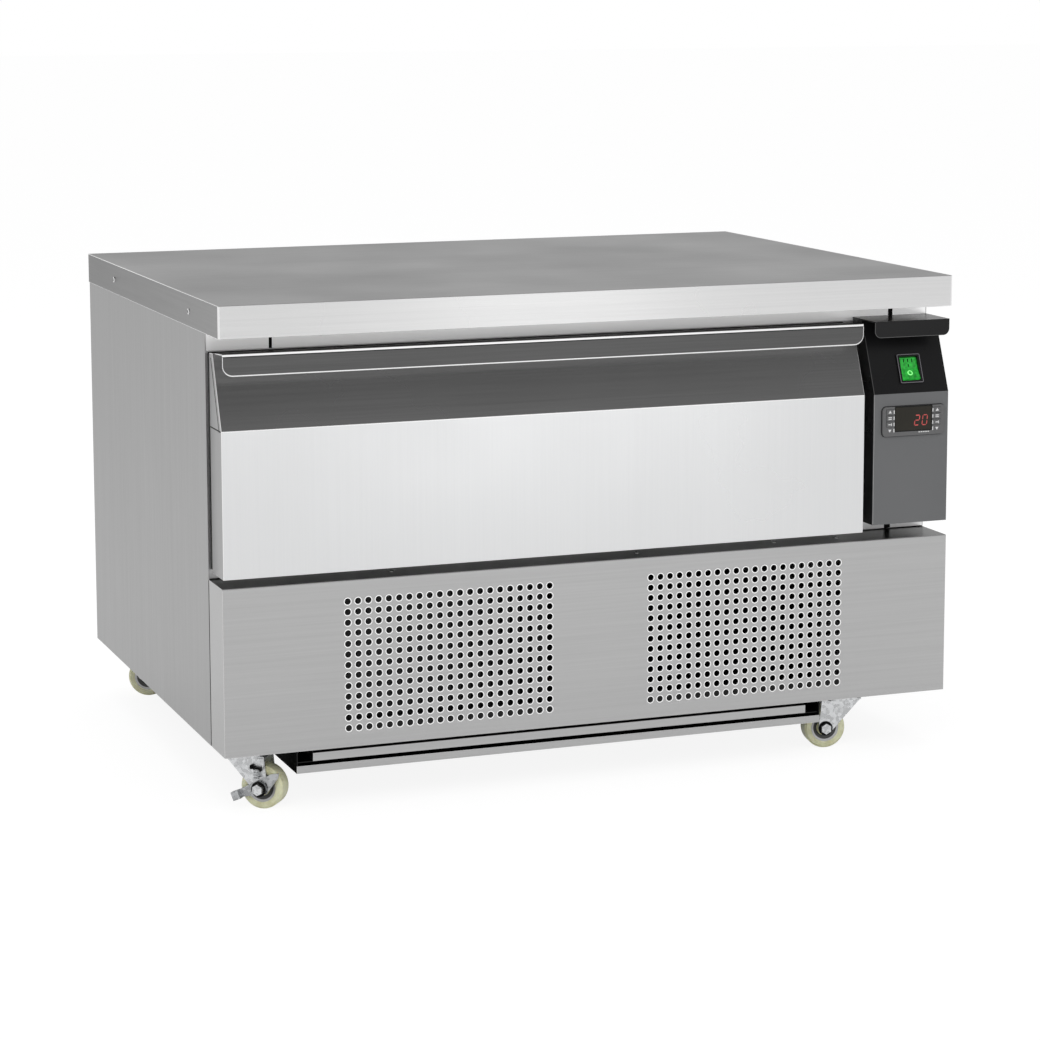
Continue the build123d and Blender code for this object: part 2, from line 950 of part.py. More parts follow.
def control_housing():
    """Black moulded housing of the control front, cut for the switch and the controller."""
    outline = front_outline(control_bottom, front_top, 0.0, carcass_setback)
    housing = prism_x(outline, control_left, control_right)
    housing -= prism_x(
        inner_outline(control_bottom, front_top, 0.0, carcass_setback, housing_wall),
        control_left + housing_wall, control_right - housing_wall,
    )
    housing += pull_lip(
        control_left, control_right, front_top, 0.0, control_lip_height, control_lip_corner
    )
    housing -= block(
        control_left, control_right, face_setback, face_setback + plate_thickness,
        control_bottom, front_fold,
    )
    cut_height = switch_body_height + 2 * switch_cut_margin
    cut_width = switch_body_width + 2 * switch_cut_margin
    housing -= switch_plane() * Box(cut_width, cut_height, 6 * housing_wall)
    return housing - controller_cut(face_setback, face_setback + 2 * housing_wall)


def control_front_plate():
    """Grey plate over the upright part of the control front, cut for the controller."""
    back = face_setback + plate_thickness
    plate = block(control_left, control_right, face_setback, back, control_bottom, front_fold)
    return plate - controller_cut(face_setback, back)


def switch_plane():
    """Plane on the slanted face under the switch: X across, Y up the slope, Z outwards."""
    lean = radians(slant_angle)
    origin = (switch_x, slant_y(switch_z), switch_z)
    return Plane(origin=origin, x_dir=(1, 0, 0), z_dir=(0, -cos(lean), sin(lean)))


def switch_bezel():
    """Frame and body of the rocker switch, with the pin that the rocker turns on."""
    frame = Box(switch_bezel_width, switch_bezel_height, switch_bezel_rise)
    frame = fillet(frame.edges().filter_by(Axis.Z), switch_bezel_corner)
    frame = Pos(0, 0, switch_bezel_rise / 2) * frame
    body = Pos(0, 0, -switch_body_depth / 2) * Box(switch_body_width, switch_body_height, switch_body_depth)
    well_depth = rocker_reach + rocker_pivot_depth + 2 * rocker_clearance
    well = Box(switch_well_width, switch_well_height, well_depth + 2 * switch_bezel_rise)
    well = Pos(0, 0, switch_bezel_rise - well_depth / 2) * well
    pin = Cylinder(switch_pin_radius, switch_well_width)
    pin = Pos(0, 0, -rocker_pivot_depth) * Rot(0, 90, 0) * pin
    return switch_plane() * (frame + body - well + pin)


def switch_rocker():
    """Rocker with a shallow V top and round ends about its pivot, pressed at the upper end."""
    reach = rocker_reach
    shoulder = reach * 0.96
    foot = reach * 0.6
    low = -rocker_skirt - rocker_root
    outline = make_face(
        Polyline(
            (-reach, -rocker_skirt), (-shoulder, rocker_crown), (0, rocker_crown - rocker_valley),
            (shoulder, rocker_crown), (reach, -rocker_skirt), (foot, low), (-foot, low), close=True,
        )
    )
    rocker = extrude(outline & Circle(reach), amount=rocker_width / 2, both=True)
    rocker -= Cylinder(switch_pin_radius + shaft_clearance, rocker_width)
    upright = Plane(origin=(0, 0, -rocker_pivot_depth), x_dir=(0, 1, 0), z_dir=(1, 0, 0))
    return switch_plane() * (upright * (Rot(0, 0, -rocker_tilt) * rocker))


def key_places():
    """Name and centre of each key, left column first, from top to bottom."""
    places = []
    for column, side in (("left", -1), ("right", 1)):
        for row in range(keys_per_column):
            x = controller_x + window_offset_x + side * key_column
            z = controller_z + key_offset_z + key_pitch * ((sign_rows - 1) / 2 - row)
            places.append((f"key_{column}_{row + 1}", x, z))
    return places


def controller_housing():
    """Temperature controller: rounded bezel, window recess, key openings and rear body."""
    front = face_setback - controller_rise
    half_w, half_h = controller_width / 2, controller_height / 2
    bezel = block(
        controller_x - half_w, controller_x + half_w, front, face_setback,
        controller_z - half_h, controller_z + half_h,
    )
    bezel = round_edges(bezel, Axis.Y, controller_corner)
    half_x = controller_body_width / 2 - part_gap
    half_z = controller_body_height / 2 - part_gap
    back = face_setback + controller_body_depth
    shell = bezel + block(
        controller_x - half_x, controller_x + half_x, face_setback, back,
        controller_z - half_z, controller_z + half_z,
    )
    shell -= window_block(front, face_setback)
    for _, x, z in key_places():
        shell -= key_block(x, z, front, front + key_depth + key_travel + shaft_clearance, part_gap)
    return shell


def window_block(y0, y1):
    """A block on the place of the display window."""
    x = controller_x + window_offset_x
    z = controller_z + window_offset_z
    half_w = window_width / 2
    half_h = window_height / 2
    return block(x - half_w, x + half_w, y0, y1, z - half_h, z + half_h)


def display_window():
    """Dark window of the controller, a little below the bezel's face."""
    front = face_setback - controller_rise + window_recess
    return window_block(front, face_setback)


def key_block(x, z, y0, y1, grow):
    """A key or the opening that it moves in."""
    half_w = key_width / 2 + grow
    half_h = key_height / 2 + grow
    return block(x - half_w, x + half_w, y0, y1, z - half_h, z + half_h)


def key(x, z):
    """One push key, standing a little proud of the bezel."""
    front = face_setback - controller_rise - key_rise
    return key_block(x, z, front, front + key_rise + key_depth, 0.0)


def finned_block(x0, x1, y0, y1, z0, z1, pitch, groove_depth):
    """A coil block, grooved between the fins on the broad face that the air enters."""
    coil = block(x0, x1, y0, y1, z0, z1)
    long_x = (x1 - x0) > (y1 - y0)
    span = max(x1 - x0, y1 - y0)
    count = int(span // pitch) - 1
    first = (span - (count - 1) * pitch) / 2
    half = pitch * fin_gap_share / 2
    low, high = z0 + coil_frame, z1 - coil_frame
    for i in range(count):
        near = first + i * pitch - half
        far = near + 2 * half
        if long_x:
            coil -= block(x0 + near, x0 + far, y0, y0 + groove_depth, low, high)
        else:
            coil -= block(x0, x0 + groove_depth, y0 + near, y0 + far, low, high)
    return coil


def return_bends(place, way):
    """U-shaped tube ends that stand out of a coil's end plate, one above the other."""
    bends = []
    reach = Vector(*way) * coil_bend_reach
    for row in range(coil_bend_rows):
        low = Vector(*place) + Vector(0, 0, row * 2 * coil_bend_pitch)
        high = low + Vector(0, 0, coil_bend_pitch)
        bends.append(mitred_tube([low, low + reach, high + reach, high], coil_tube_radius))
    return bends


def condenser_coil():
    """Finned condenser on two end plates that stand on the base pan."""
    fins = finned_block(
        condenser_left + coil_plate, condenser_right - coil_plate, condenser_front, condenser_back,
        base_top + coil_frame, condenser_top, condenser_fin_pitch, condenser_groove,
    )
    for x in (condenser_left, condenser_right - coil_plate):
        fins += block(
            x, x + coil_plate, condenser_front - coil_plate_lap, condenser_back, base_top, shroud_top
        )
    middle = (condenser_front + condenser_back) / 2
    for bend in return_bends((condenser_left, middle, base_top + coil_bend_rise), (-1, 0, 0)):
        fins += bend
    return fins


def fan_blades(radius, hub_radius):
    """Axial fan wheel about Z: a cupped hub with pitched blades, its back face at Z = 0."""
    depth = fan_hub_depth
    hub = Cylinder(hub_radius, depth, align=(Align.CENTER, Align.CENTER, Align.MIN))
    wheel = chamfer(hub.edges().group_by(Axis.Z)[-1], fan_hub_chamfer)
    root_half = hub_radius / 2
    tip_half = radius * 0.31
    start = hub_radius - fan_blade_root
    outline = make_face(
        Polyline(
            (start, -root_half), (radius * 0.9, -tip_half), (radius, -tip_half * 0.6),
            (radius, tip_half * 0.6), (radius * 0.9, tip_half), (start, root_half), close=True,
        )
    )
    blade = extrude(outline, amount=fan_blade_sheet / 2, both=True)
    blade = Pos(0, 0, depth / 2) * Rot(fan_blade_turn, 0, 0) * blade
    for i in range(fan_blade_count):
        wheel += Rot(0, 0, i * 360.0 / fan_blade_count) * blade
    return wheel - Cylinder(fan_shaft + shaft_clearance, 3 * depth)


def fan_motor(radius, length, ring, arm_back):
    """Fan motor about Z: its shaft enters the hub, and its arms reach back to the plate.

    Z = 0 is the back face of the fan wheel and the plate lies at Z = arm_back.
    """
    reach = motor_gap + fan_shaft_grip
    body = Pos(0, 0, -motor_gap - length / 2) * Cylinder(radius, length)
    motor = body + Pos(0, 0, reach / 2 - motor_gap) * Cylinder(fan_shaft, reach)
    near = -motor_gap - motor_arm_gap
    far = near - motor_arm_sheet
    foot = ring + motor_leg_clearance
    half = motor_arm_width / 2
    for i in range(motor_arm_count):
        arm = block(radius - 2 * motor_arm_gap, foot + motor_leg, -half, half, far, near)
        leg = block(foot, foot + motor_leg, -half, half, far, arm_back)
        motor += Rot(0, 0, (i + 0.5) * 360.0 / motor_arm_count) * (arm + leg)
    return motor


def condenser_fan_place():
    """Back face of the condenser fan's hub, with the fan blowing towards the back."""
    origin = (condenser_fan_x, condenser_fan_y + fan_hub_depth, condenser_fan_z)
    return Plane(origin=origin, x_dir=(1, 0, 0), z_dir=(0, -1, 0))


def condenser_fan_blade():
    """Fan wheel that draws air through the condenser."""
    return condenser_fan_place() * fan_blades(condenser_fan_radius, condenser_hub_radius)


def condenser_shroud():
    """Plate behind the condenser with a round collar for the fan."""
    back = condenser_back + collar_wall
    plate = block(condenser_left, condenser_right, condenser_back, back, base_top, shroud_top)
    centre_front = (condenser_fan_x, condenser_back, condenser_fan_z)
    centre_back = (condenser_fan_x, condenser_back + collar_depth, condenser_fan_z)
    collar = rod(centre_front, centre_back, condenser_ring + collar_wall)
    return plate + collar - rod(centre_front, centre_back, condenser_ring)


def condenser_fan_motor():
    """Motor of the condenser fan, carried by four arms on the shroud."""
    arm_back = condenser_fan_y + fan_hub_depth - (condenser_back + collar_wall)
    return condenser_fan_place() * fan_motor(
        condenser_motor_radius, condenser_motor_length, condenser_ring, arm_back
    )


def evaporator_cover():
    """Divider between the drawer and the evaporator, with a fan opening and return slots."""
    cover = block(open_right, divider_x, cold_front, liner_back, open_bottom, open_top)
    for z0, z1 in ((open_bottom, open_bottom + outer_sheet), (open_top - outer_sheet, open_top)):
        cover += block(open_right, divider_x + cover_flange, cold_front, liner_back - liner_corner, z0, z1)
    start = (open_right, evaporator_fan_y, evaporator_fan_z)
    end = (divider_x, evaporator_fan_y, evaporator_fan_z)
    cover -= rod(start, end, evaporator_fan_radius + evaporator_fan_opening)
    slot_low = slide_z + outer_half + cover_slot_margin
    for i in range(cover_slot_count):
        y = evaporator_y[0] + cover_slot_margin + i * cover_slot_pitch
        cover -= block(open_right, divider_x, y, y + cover_slot_width, slot_low, open_top - cover_slot_margin)
    return cover


def evaporator_coil():
    """Finned evaporator on two end plates that stand on the lining's floor."""
    x0 = divider_x + evaporator_gap
    x1 = x0 + evaporator_width
    y0, y1 = evaporator_y
    top = open_bottom + evaporator_height
    coil = finned_block(
        x0, x1, y0 + coil_plate, y1 - coil_plate, open_bottom + coil_frame, top - coil_frame,
        evaporator_fin_pitch, evaporator_groove,
    )
    for y in (y0, y1 - coil_plate):
        coil += block(x0 - coil_plate_lap, x1 + coil_plate_lap, y, y + coil_plate, open_bottom, top)
    for bend in return_bends(((x0 + x1) / 2, y0, open_bottom + coil_bend_rise), (0, -1, 0)):
        coil += bend
    return coil


def evaporator_fan_place():
    """Back face of the evaporator fan's hub, with the fan blowing towards the drawer."""
    origin = (divider_x + evaporator_fan_gap + fan_hub_depth, evaporator_fan_y, evaporator_fan_z)
    return Plane(origin=origin, x_dir=(0, 1, 0), z_dir=(-1, 0, 0))


def evaporator_fan_blade():
    """Fan wheel that blows cold air over the drawer."""
    return evaporator_fan_place() * fan_blades(evaporator_fan_radius, evaporator_hub_radius)


def evaporator_fan_motor():
    """Motor of the evaporator fan, carried by four arms on the divider."""
    return evaporator_fan_place() * fan_motor(
        evaporator_motor_radius, evaporator_motor_length, evaporator_fan_radius,
        evaporator_fan_gap + fan_hub_depth,
    )


def compressor():
    """Hermetic compressor: a domed pot with a weld seam, its base plate and two pipe stubs."""
    r = compressor_radius
    x, y, z0 = compressor_x, compressor_y, compressor_bottom
    wall = r - compressor_lap
    seam = z0 + compressor_seam
    top = z0 + compressor_height
    profile = Polyline(
        (0, 0, z0), (wall, 0, z0), (wall, 0, seam), (r, 0, seam), (r, 0, z0 + compressor_shoulder),
        (compressor_crown_radius, 0, top - compressor_crown_drop), (0, 0, top), close=True,
    )
    pot = Pos(x, y, 0) * revolve(make_face(profile), axis=Axis.Z)
    plate = block(
        x - compressor_plate_x, x + compressor_plate_x, y - compressor_plate_y, y + compressor_plate_y,
        compressor_plate_z, z0,
    )
    root = compressor_crown_radius
    discharge = polygon_bar((x - root, y, discharge_z), (x - stub_reach, y, discharge_z), copper_radius + 1.0)
    suction = polygon_bar((x + root, y, suction_z), (x + stub_reach, y, suction_z), suction_radius)
    half = terminal_cover_width / 2
    cover_front = y - r - terminal_cover_depth / 2
    cover_low = z0 + terminal_cover_rise
    cover = block(
        x - half, x + half, cover_front, cover_front + terminal_cover_depth,
        cover_low, cover_low + terminal_cover_height,
    )
    return pot + plate + discharge + suction + cover


def compressor_feet():
    """Four rubber feet between the compressor's plate and the base pan."""
    feet = []
    for side_x in (-1, 1):
        for side_y in (-1, 1):
            x = compressor_x + side_x * compressor_foot_x
            y = compressor_y + side_y * compressor_foot_y
            foot = polygon_bar(
                (x, y, base_top), (x, y, compressor_plate_z), compressor_foot_radius, compressor_foot_sides
            )
            feet.append(foot)
    return joined(feet)


def mitred_tube(points, radius):
    """A six-sided tube along straight runs with mitred corners."""
    path = Polyline(*[tuple(point) for point in points])
    section = Plane(origin=tuple(points[0]), z_dir=path % 0) * RegularPolygon(radius, 6)
    return sweep(section, path=path, transition=Transition.RIGHT)


def tube(points, radius, bend):
    """A six-sided tube whose corners are each cut by two mitres."""
    knots = [Vector(*point) for point in points]
    path = [knots[0]]
    for before, knot, after in zip(knots, knots[1:], knots[2:]):
        path.append(knot + (before - knot).normalized() * bend)
        path.append(knot + (after - knot).normalized() * bend)
    path.append(knots[-1])
    return mitred_tube(path, radius)


def copper_pipes():
    """Discharge pipe to the condenser, and liquid pipe through the drier to the evaporator."""
    top = condenser_top - discharge_drop
    inlet_y = (condenser_front + condenser_back) / 2
    discharge = tube(
        [
            (compressor_x - stub_reach, compressor_y, discharge_z),
            (discharge_x, compressor_y, discharge_z),
            (discharge_x, compressor_y, top),
            (discharge_x, inlet_y, top),
            (condenser_right, inlet_y, top),
        ],
        copper_radius, bend_radius,
    )
    outlet = tube(
        [
            (condenser_right, inlet_y, drier_z),
            (drier_x, inlet_y, drier_z),
            (drier_x, drier_y, drier_z),
        ],
        copper_radius, short_bend,
    )
    x, y = liquid_rise
    inlet_z = open_bottom + liquid_inlet_rise
    liquid = tube(
        [
            (drier_x, drier_y + drier_length, drier_z),
            (drier_x, y, drier_z),
            (x, y, drier_z),
            (x, y, inlet_z),
            (x, evaporator_y[1], inlet_z),
        ],
        copper_radius, short_bend,
    )
    return discharge + outlet + liquid


def filter_drier():
    """Filter drier in the liquid pipe, with tapered ends."""
    sections = []
    ends = (
        (0.0, copper_radius + 1.0), (drier_taper, drier_radius),
        (drier_length - drier_taper, drier_radius), (drier_length, copper_radius + 1.0),
    )
    for reach, radius in ends:
        place = Plane(origin=(drier_x, drier_y + reach, drier_z), x_dir=(1, 0, 0), z_dir=(0, 1, 0))
        sections.append(place * RegularPolygon(radius, drier_sides))
    return loft(sections, ruled=True)


def suction_line():
    """Insulated suction pipe from the evaporator down to the compressor."""
    x, y = suction_rise
    upper = open_bottom + suction_outlet_rise
    return tube(
        [
            (x, evaporator_y[1], upper),
            (x, y, upper),
            (x, y, suction_z),
            (x, compressor_y, suction_z),
            (compressor_x + stub_reach, compressor_y, suction_z),
        ],
        suction_radius, short_bend,
    )


def electrical_box():
    """Closed box for the wiring, with a lapped lid towards the front."""
    x0, y0 = electrical_box_left, electrical_box_front
    x1 = x0 + electrical_box_width
    top = base_top + electrical_box_height
    body = block(x0, x1, y0, y0 + electrical_box_depth, base_top, top)
    lap = electrical_lid_lap
    return body + block(x0 - lap, x1 + lap, y0 - electrical_lid_sheet, y0, base_top, top + lap)


def castor_places():
    """Name, swivel centre and heading of each castor."""
    left = castor_centre - castor_spread_x / 2
    right = castor_centre + castor_spread_x / 2
    centres = {
        "front_left": (left, castor_inset_y),
        "front_right": (right, castor_inset_y),
        "back_left": (left, rear_castor_y),
        "back_right": (right, rear_castor_y),
    }
    return [(name, centres[name], heading) for name, heading in fork_headings.items()]


def castor_location(centre, heading):
    """Local frame of a castor: X runs from the swivel to the axle, the origin is on the floor."""
    return Pos(centre[0], centre[1], 0) * Rot(0, 0, heading)


def castor_plate(centre):
    """Top plate, upper raceway and kingpin of one castor."""
    half = castor_plate_size / 2
    x, y = centre
    under = base_under - castor_plate_sheet
    plate = block(x - half, x + half, y - half, y + half, under, base_under)
    race = polygon_bar((x, y, raceway_gap_low), (x, y, under), raceway_diameter / 2, raceway_sides)
    pin = rod((x, y, crown_height - fork_sheet - kingpin_end), (x, y, raceway_gap_low), kingpin_radius)
    return plate + race + pin


def castor_plates():
    """The four top plates under the base pan."""
    return joined([castor_plate(centre) for _, centre, _ in castor_places()])


def fork_leg(y0, y1):
    """Side of the fork: upright at the axle, gusseted towards the swivel."""
    axle_x, axle_z = castor_trail, wheel_radius
    web = Plane(origin=(0, y0, 0), x_dir=(1, 0, 0), z_dir=(0, -1, 0))
    outline = make_face(
        Polyline(
            (-crown_back, crown_height), (axle_x + fork_lead, crown_height),
            (axle_x + fork_tongue_radius, axle_z), (axle_x - fork_gusset_reach, axle_z - fork_gusset_drop),
            close=True,
        )
    )
    tongue = Pos(axle_x, axle_z) * Circle(fork_tongue_radius)
    return extrude(web * (outline + tongue), amount=y0 - y1)


def castor_fork(name):
    """Pressed fork with its lower raceway, and the axle bolt with its nut."""
    axle_x, axle_z = castor_trail, wheel_radius
    crown_under = crown_height - fork_sheet
    crown = block(-crown_back, axle_x + fork_lead, -leg_outer, leg_outer, crown_under, crown_height)
    cup_top = raceway_gap_low - part_gap
    cup = polygon_bar((0, 0, crown_under), (0, 0, cup_top), raceway_diameter / 2, raceway_sides)
    fork = crown + cup + fork_leg(leg_inner, leg_outer) + fork_leg(-leg_outer, -leg_inner)
    fork -= rod((0, 0, crown_height - crown_bore_depth), (0, 0, cup_top), kingpin_radius + part_gap)
    near = -leg_outer - (brake_stack if name == braked_castor else 0.0)
    fork += rod((axle_x, near, axle_z), (axle_x, leg_outer, axle_z), axle_diameter / 2)
    nut_height = axle_nut_height
    fork += polygon_bar((axle_x, near - nut_height, axle_z), (axle_x, near, axle_z), axle_nut_radius)
    end = leg_outer + nut_height
    return fork + polygon_bar((axle_x, leg_outer, axle_z), (axle_x, end, axle_z), axle_nut_radius)


def castor_wheel():
    """Nylon wheel with chamfered treads, dished sides and a hub."""
    half = wheel_width / 2
    hub_half = leg_inner - part_gap
    bore = axle_diameter / 2 + shaft_clearance
    rim = wheel_radius - wheel_rim
    tread = half - wheel_chamfer
    outline = Polyline(
        (bore, -hub_half), (hub_radius, -hub_half), (hub_radius, wheel_dish - half), (rim, -half),
        (wheel_radius - wheel_chamfer, -half), (wheel_radius, -tread), (wheel_radius, tread),
        (wheel_radius - wheel_chamfer, half), (rim, half), (hub_radius, half - wheel_dish),
        (hub_radius, hub_half), (bore, hub_half), close=True,
    )
    wheel = revolve(make_face(outline), axis=Axis.Y)
    return Pos(castor_trail, 0, wheel_radius) * wheel


def castor_brake():
    """Pressed brake lever on the axle: a pedal on one side and a wing on the other."""
    near = -leg_outer - part_gap
    plane = Plane(origin=(castor_trail, near, wheel_radius), x_dir=(1, 0, 0), z_dir=(0, -1, 0))
    lever = make_face(
        Polyline(
            (-brake_reach, -13.0), (-brake_reach + 4.0, -4.0), (-6.0, 7.0), (14.0, 17.5), (23.0, 19.0),
            (22.0, 13.0), (8.0, -6.0), (-4.0, -8.0), close=True,
        )
    )
    plate = extrude(lever, amount=brake_sheet)
    boss = extrude(Circle(brake_boss_radius), amount=brake_boss_height)
    pedal = Box(brake_pedal_length, brake_pedal_width, brake_pedal_height)
    pedal_place = Pos(4.0 - brake_reach, 1.0 - brake_pedal_width, brake_pedal_height / 2)
    pedal = pedal_place * Rot(0, 0, brake_pedal_turn) * pedal
    bore = Cylinder(axle_diameter / 2 + shaft_clearance, 4 * brake_pedal_height)
    return plane * (plate + boss + pedal - bore)


def castor_pieces():
    """Fork and wheel nodes of every castor, and the brake of the braked one."""
    pieces = {}
    for name, centre, heading in castor_places():
        place = castor_location(centre, heading)
        pieces[f"castor_fork_{name}"] = place * castor_fork(name)
        pieces[f"castor_wheel_{name}"] = place * castor_wheel()
        if name == braked_castor:
            pieces[f"castor_brake_{name}"] = place * castor_brake()
    return pieces


def all_pieces():
    """Every node of the counter by name."""
    pieces = {
        "worktop_skin": worktop_skin(),
        "worktop_core": worktop_core(),
        "panel_screws": panel_screws(),
        "left_side_panel": side_panel(-1),
        "right_side_panel": side_panel(1),
        "back_panel": back_panel(),
        "cable_bush": cable_bush(),
        "front_frame": front_frame(),
        "cabinet_liner": cabinet_liner(),
        "cabinet_insulation": cabinet_insulation(),
        "machine_deck": machine_deck(),
        "lower_front_panel": lower_front_panel(),
        "base_pan": base_pan(),
        "tray_carrier": tray_carrier(),
        "drip_tray": drip_tray(),
        "drawer_front_skin": drawer_front_skin(),
        "drawer_front_core": drawer_front_core(),
        "drawer_front_liner": drawer_front_liner(),
        "drawer_gasket": drawer_gasket(),
        "drawer_box": drawer_box(),
        "slide_outer_members": slide_outer_members(),
        "slide_middle_left": slide_middle(-1),
        "slide_middle_right": slide_middle(1),
        "slide_inner_members": slide_inner_members(),
        "control_housing": control_housing(),
        "control_front_plate": control_front_plate(),
        "switch_bezel": switch_bezel(),
        "switch_rocker": switch_rocker(),
        "controller_housing": controller_housing(),
        "display_window": display_window(),
        "condenser_coil": condenser_coil(),
        "condenser_shroud": condenser_shroud(),
        "condenser_fan_motor": condenser_fan_motor(),
        "condenser_fan_blade": condenser_fan_blade(),
        "compressor": compressor(),
        "compressor_feet": compressor_feet(),
        "filter_drier": filter_drier(),
        "copper_pipes": copper_pipes(),
        "suction_line": suction_line(),
        "electrical_box": electrical_box(),
        "evaporator_cover": evaporator_cover(),
        "evaporator_coil": evaporator_coil(),
        "evaporator_fan_motor": evaporator_fan_motor(),
        "evaporator_fan_blade": evaporator_fan_blade(),
        "castor_plates": castor_plates(),
    }
    pieces.update({name: key(x, z) for name, x, z in key_places()})
    pieces.update(castor_pieces())
    return pieces


os.makedirs("parts", exist_ok=True)
to_centre = Pos(0, -overall_depth / 2, 0)
for node, piece in all_pieces().items():
    export_step(to_centre * piece, f"parts/{node}.step")
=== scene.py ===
"""A refrigerated drawer counter on castors: its visible pieces, their finishes and a plain studio."""

import json
import logging
import math
from dataclasses import dataclass, field
from enum import Enum

import bmesh
import bpy
from mathutils import Matrix, Vector


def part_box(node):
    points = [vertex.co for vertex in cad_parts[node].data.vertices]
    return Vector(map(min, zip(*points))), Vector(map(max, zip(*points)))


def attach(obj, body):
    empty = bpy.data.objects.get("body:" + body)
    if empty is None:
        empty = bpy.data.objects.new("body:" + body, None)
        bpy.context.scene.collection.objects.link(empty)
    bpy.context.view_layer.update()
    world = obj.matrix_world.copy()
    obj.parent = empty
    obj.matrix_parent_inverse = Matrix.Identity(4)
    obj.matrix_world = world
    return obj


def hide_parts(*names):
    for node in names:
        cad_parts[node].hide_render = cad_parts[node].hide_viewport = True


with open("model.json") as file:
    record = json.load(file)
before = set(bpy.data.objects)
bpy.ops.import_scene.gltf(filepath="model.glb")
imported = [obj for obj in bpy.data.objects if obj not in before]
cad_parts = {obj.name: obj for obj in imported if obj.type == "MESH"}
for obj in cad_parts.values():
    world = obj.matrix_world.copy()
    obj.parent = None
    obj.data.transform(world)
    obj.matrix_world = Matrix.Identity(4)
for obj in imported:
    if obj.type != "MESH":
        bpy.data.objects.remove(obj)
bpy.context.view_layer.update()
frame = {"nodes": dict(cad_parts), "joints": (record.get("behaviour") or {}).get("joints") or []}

log = logging.getLogger("drawer_counter")

Colour = tuple[float, float, float]
Point2 = tuple[float, float]
Point3 = tuple[float, float, float]


class Grain(Enum):
    """Direction in which a sheet was brushed, as the texture's scale along X, Y and Z."""

    ALONG_X = (4.0, 420.0, 420.0)
    ALONG_Y = (420.0, 4.0, 420.0)
    ALONG_Z = (420.0, 420.0, 4.0)


def add_node(tree: bpy.types.NodeTree, kind: str, **values: float | tuple[float, ...]) -> bpy.types.Node:
    """Adds a shader node and sets values on its inputs.

    Args:
        tree: node tree that gets the node.
        kind: type of the node, without its prefix.
        values: value for each input, with underscores for the blanks in its name.

    Returns:
        The new node.
    """
    node = tree.nodes.new(f"ShaderNode{kind}")
    for socket, value in values.items():
        node.inputs[socket.replace("_", " ")].default_value = value
    return node


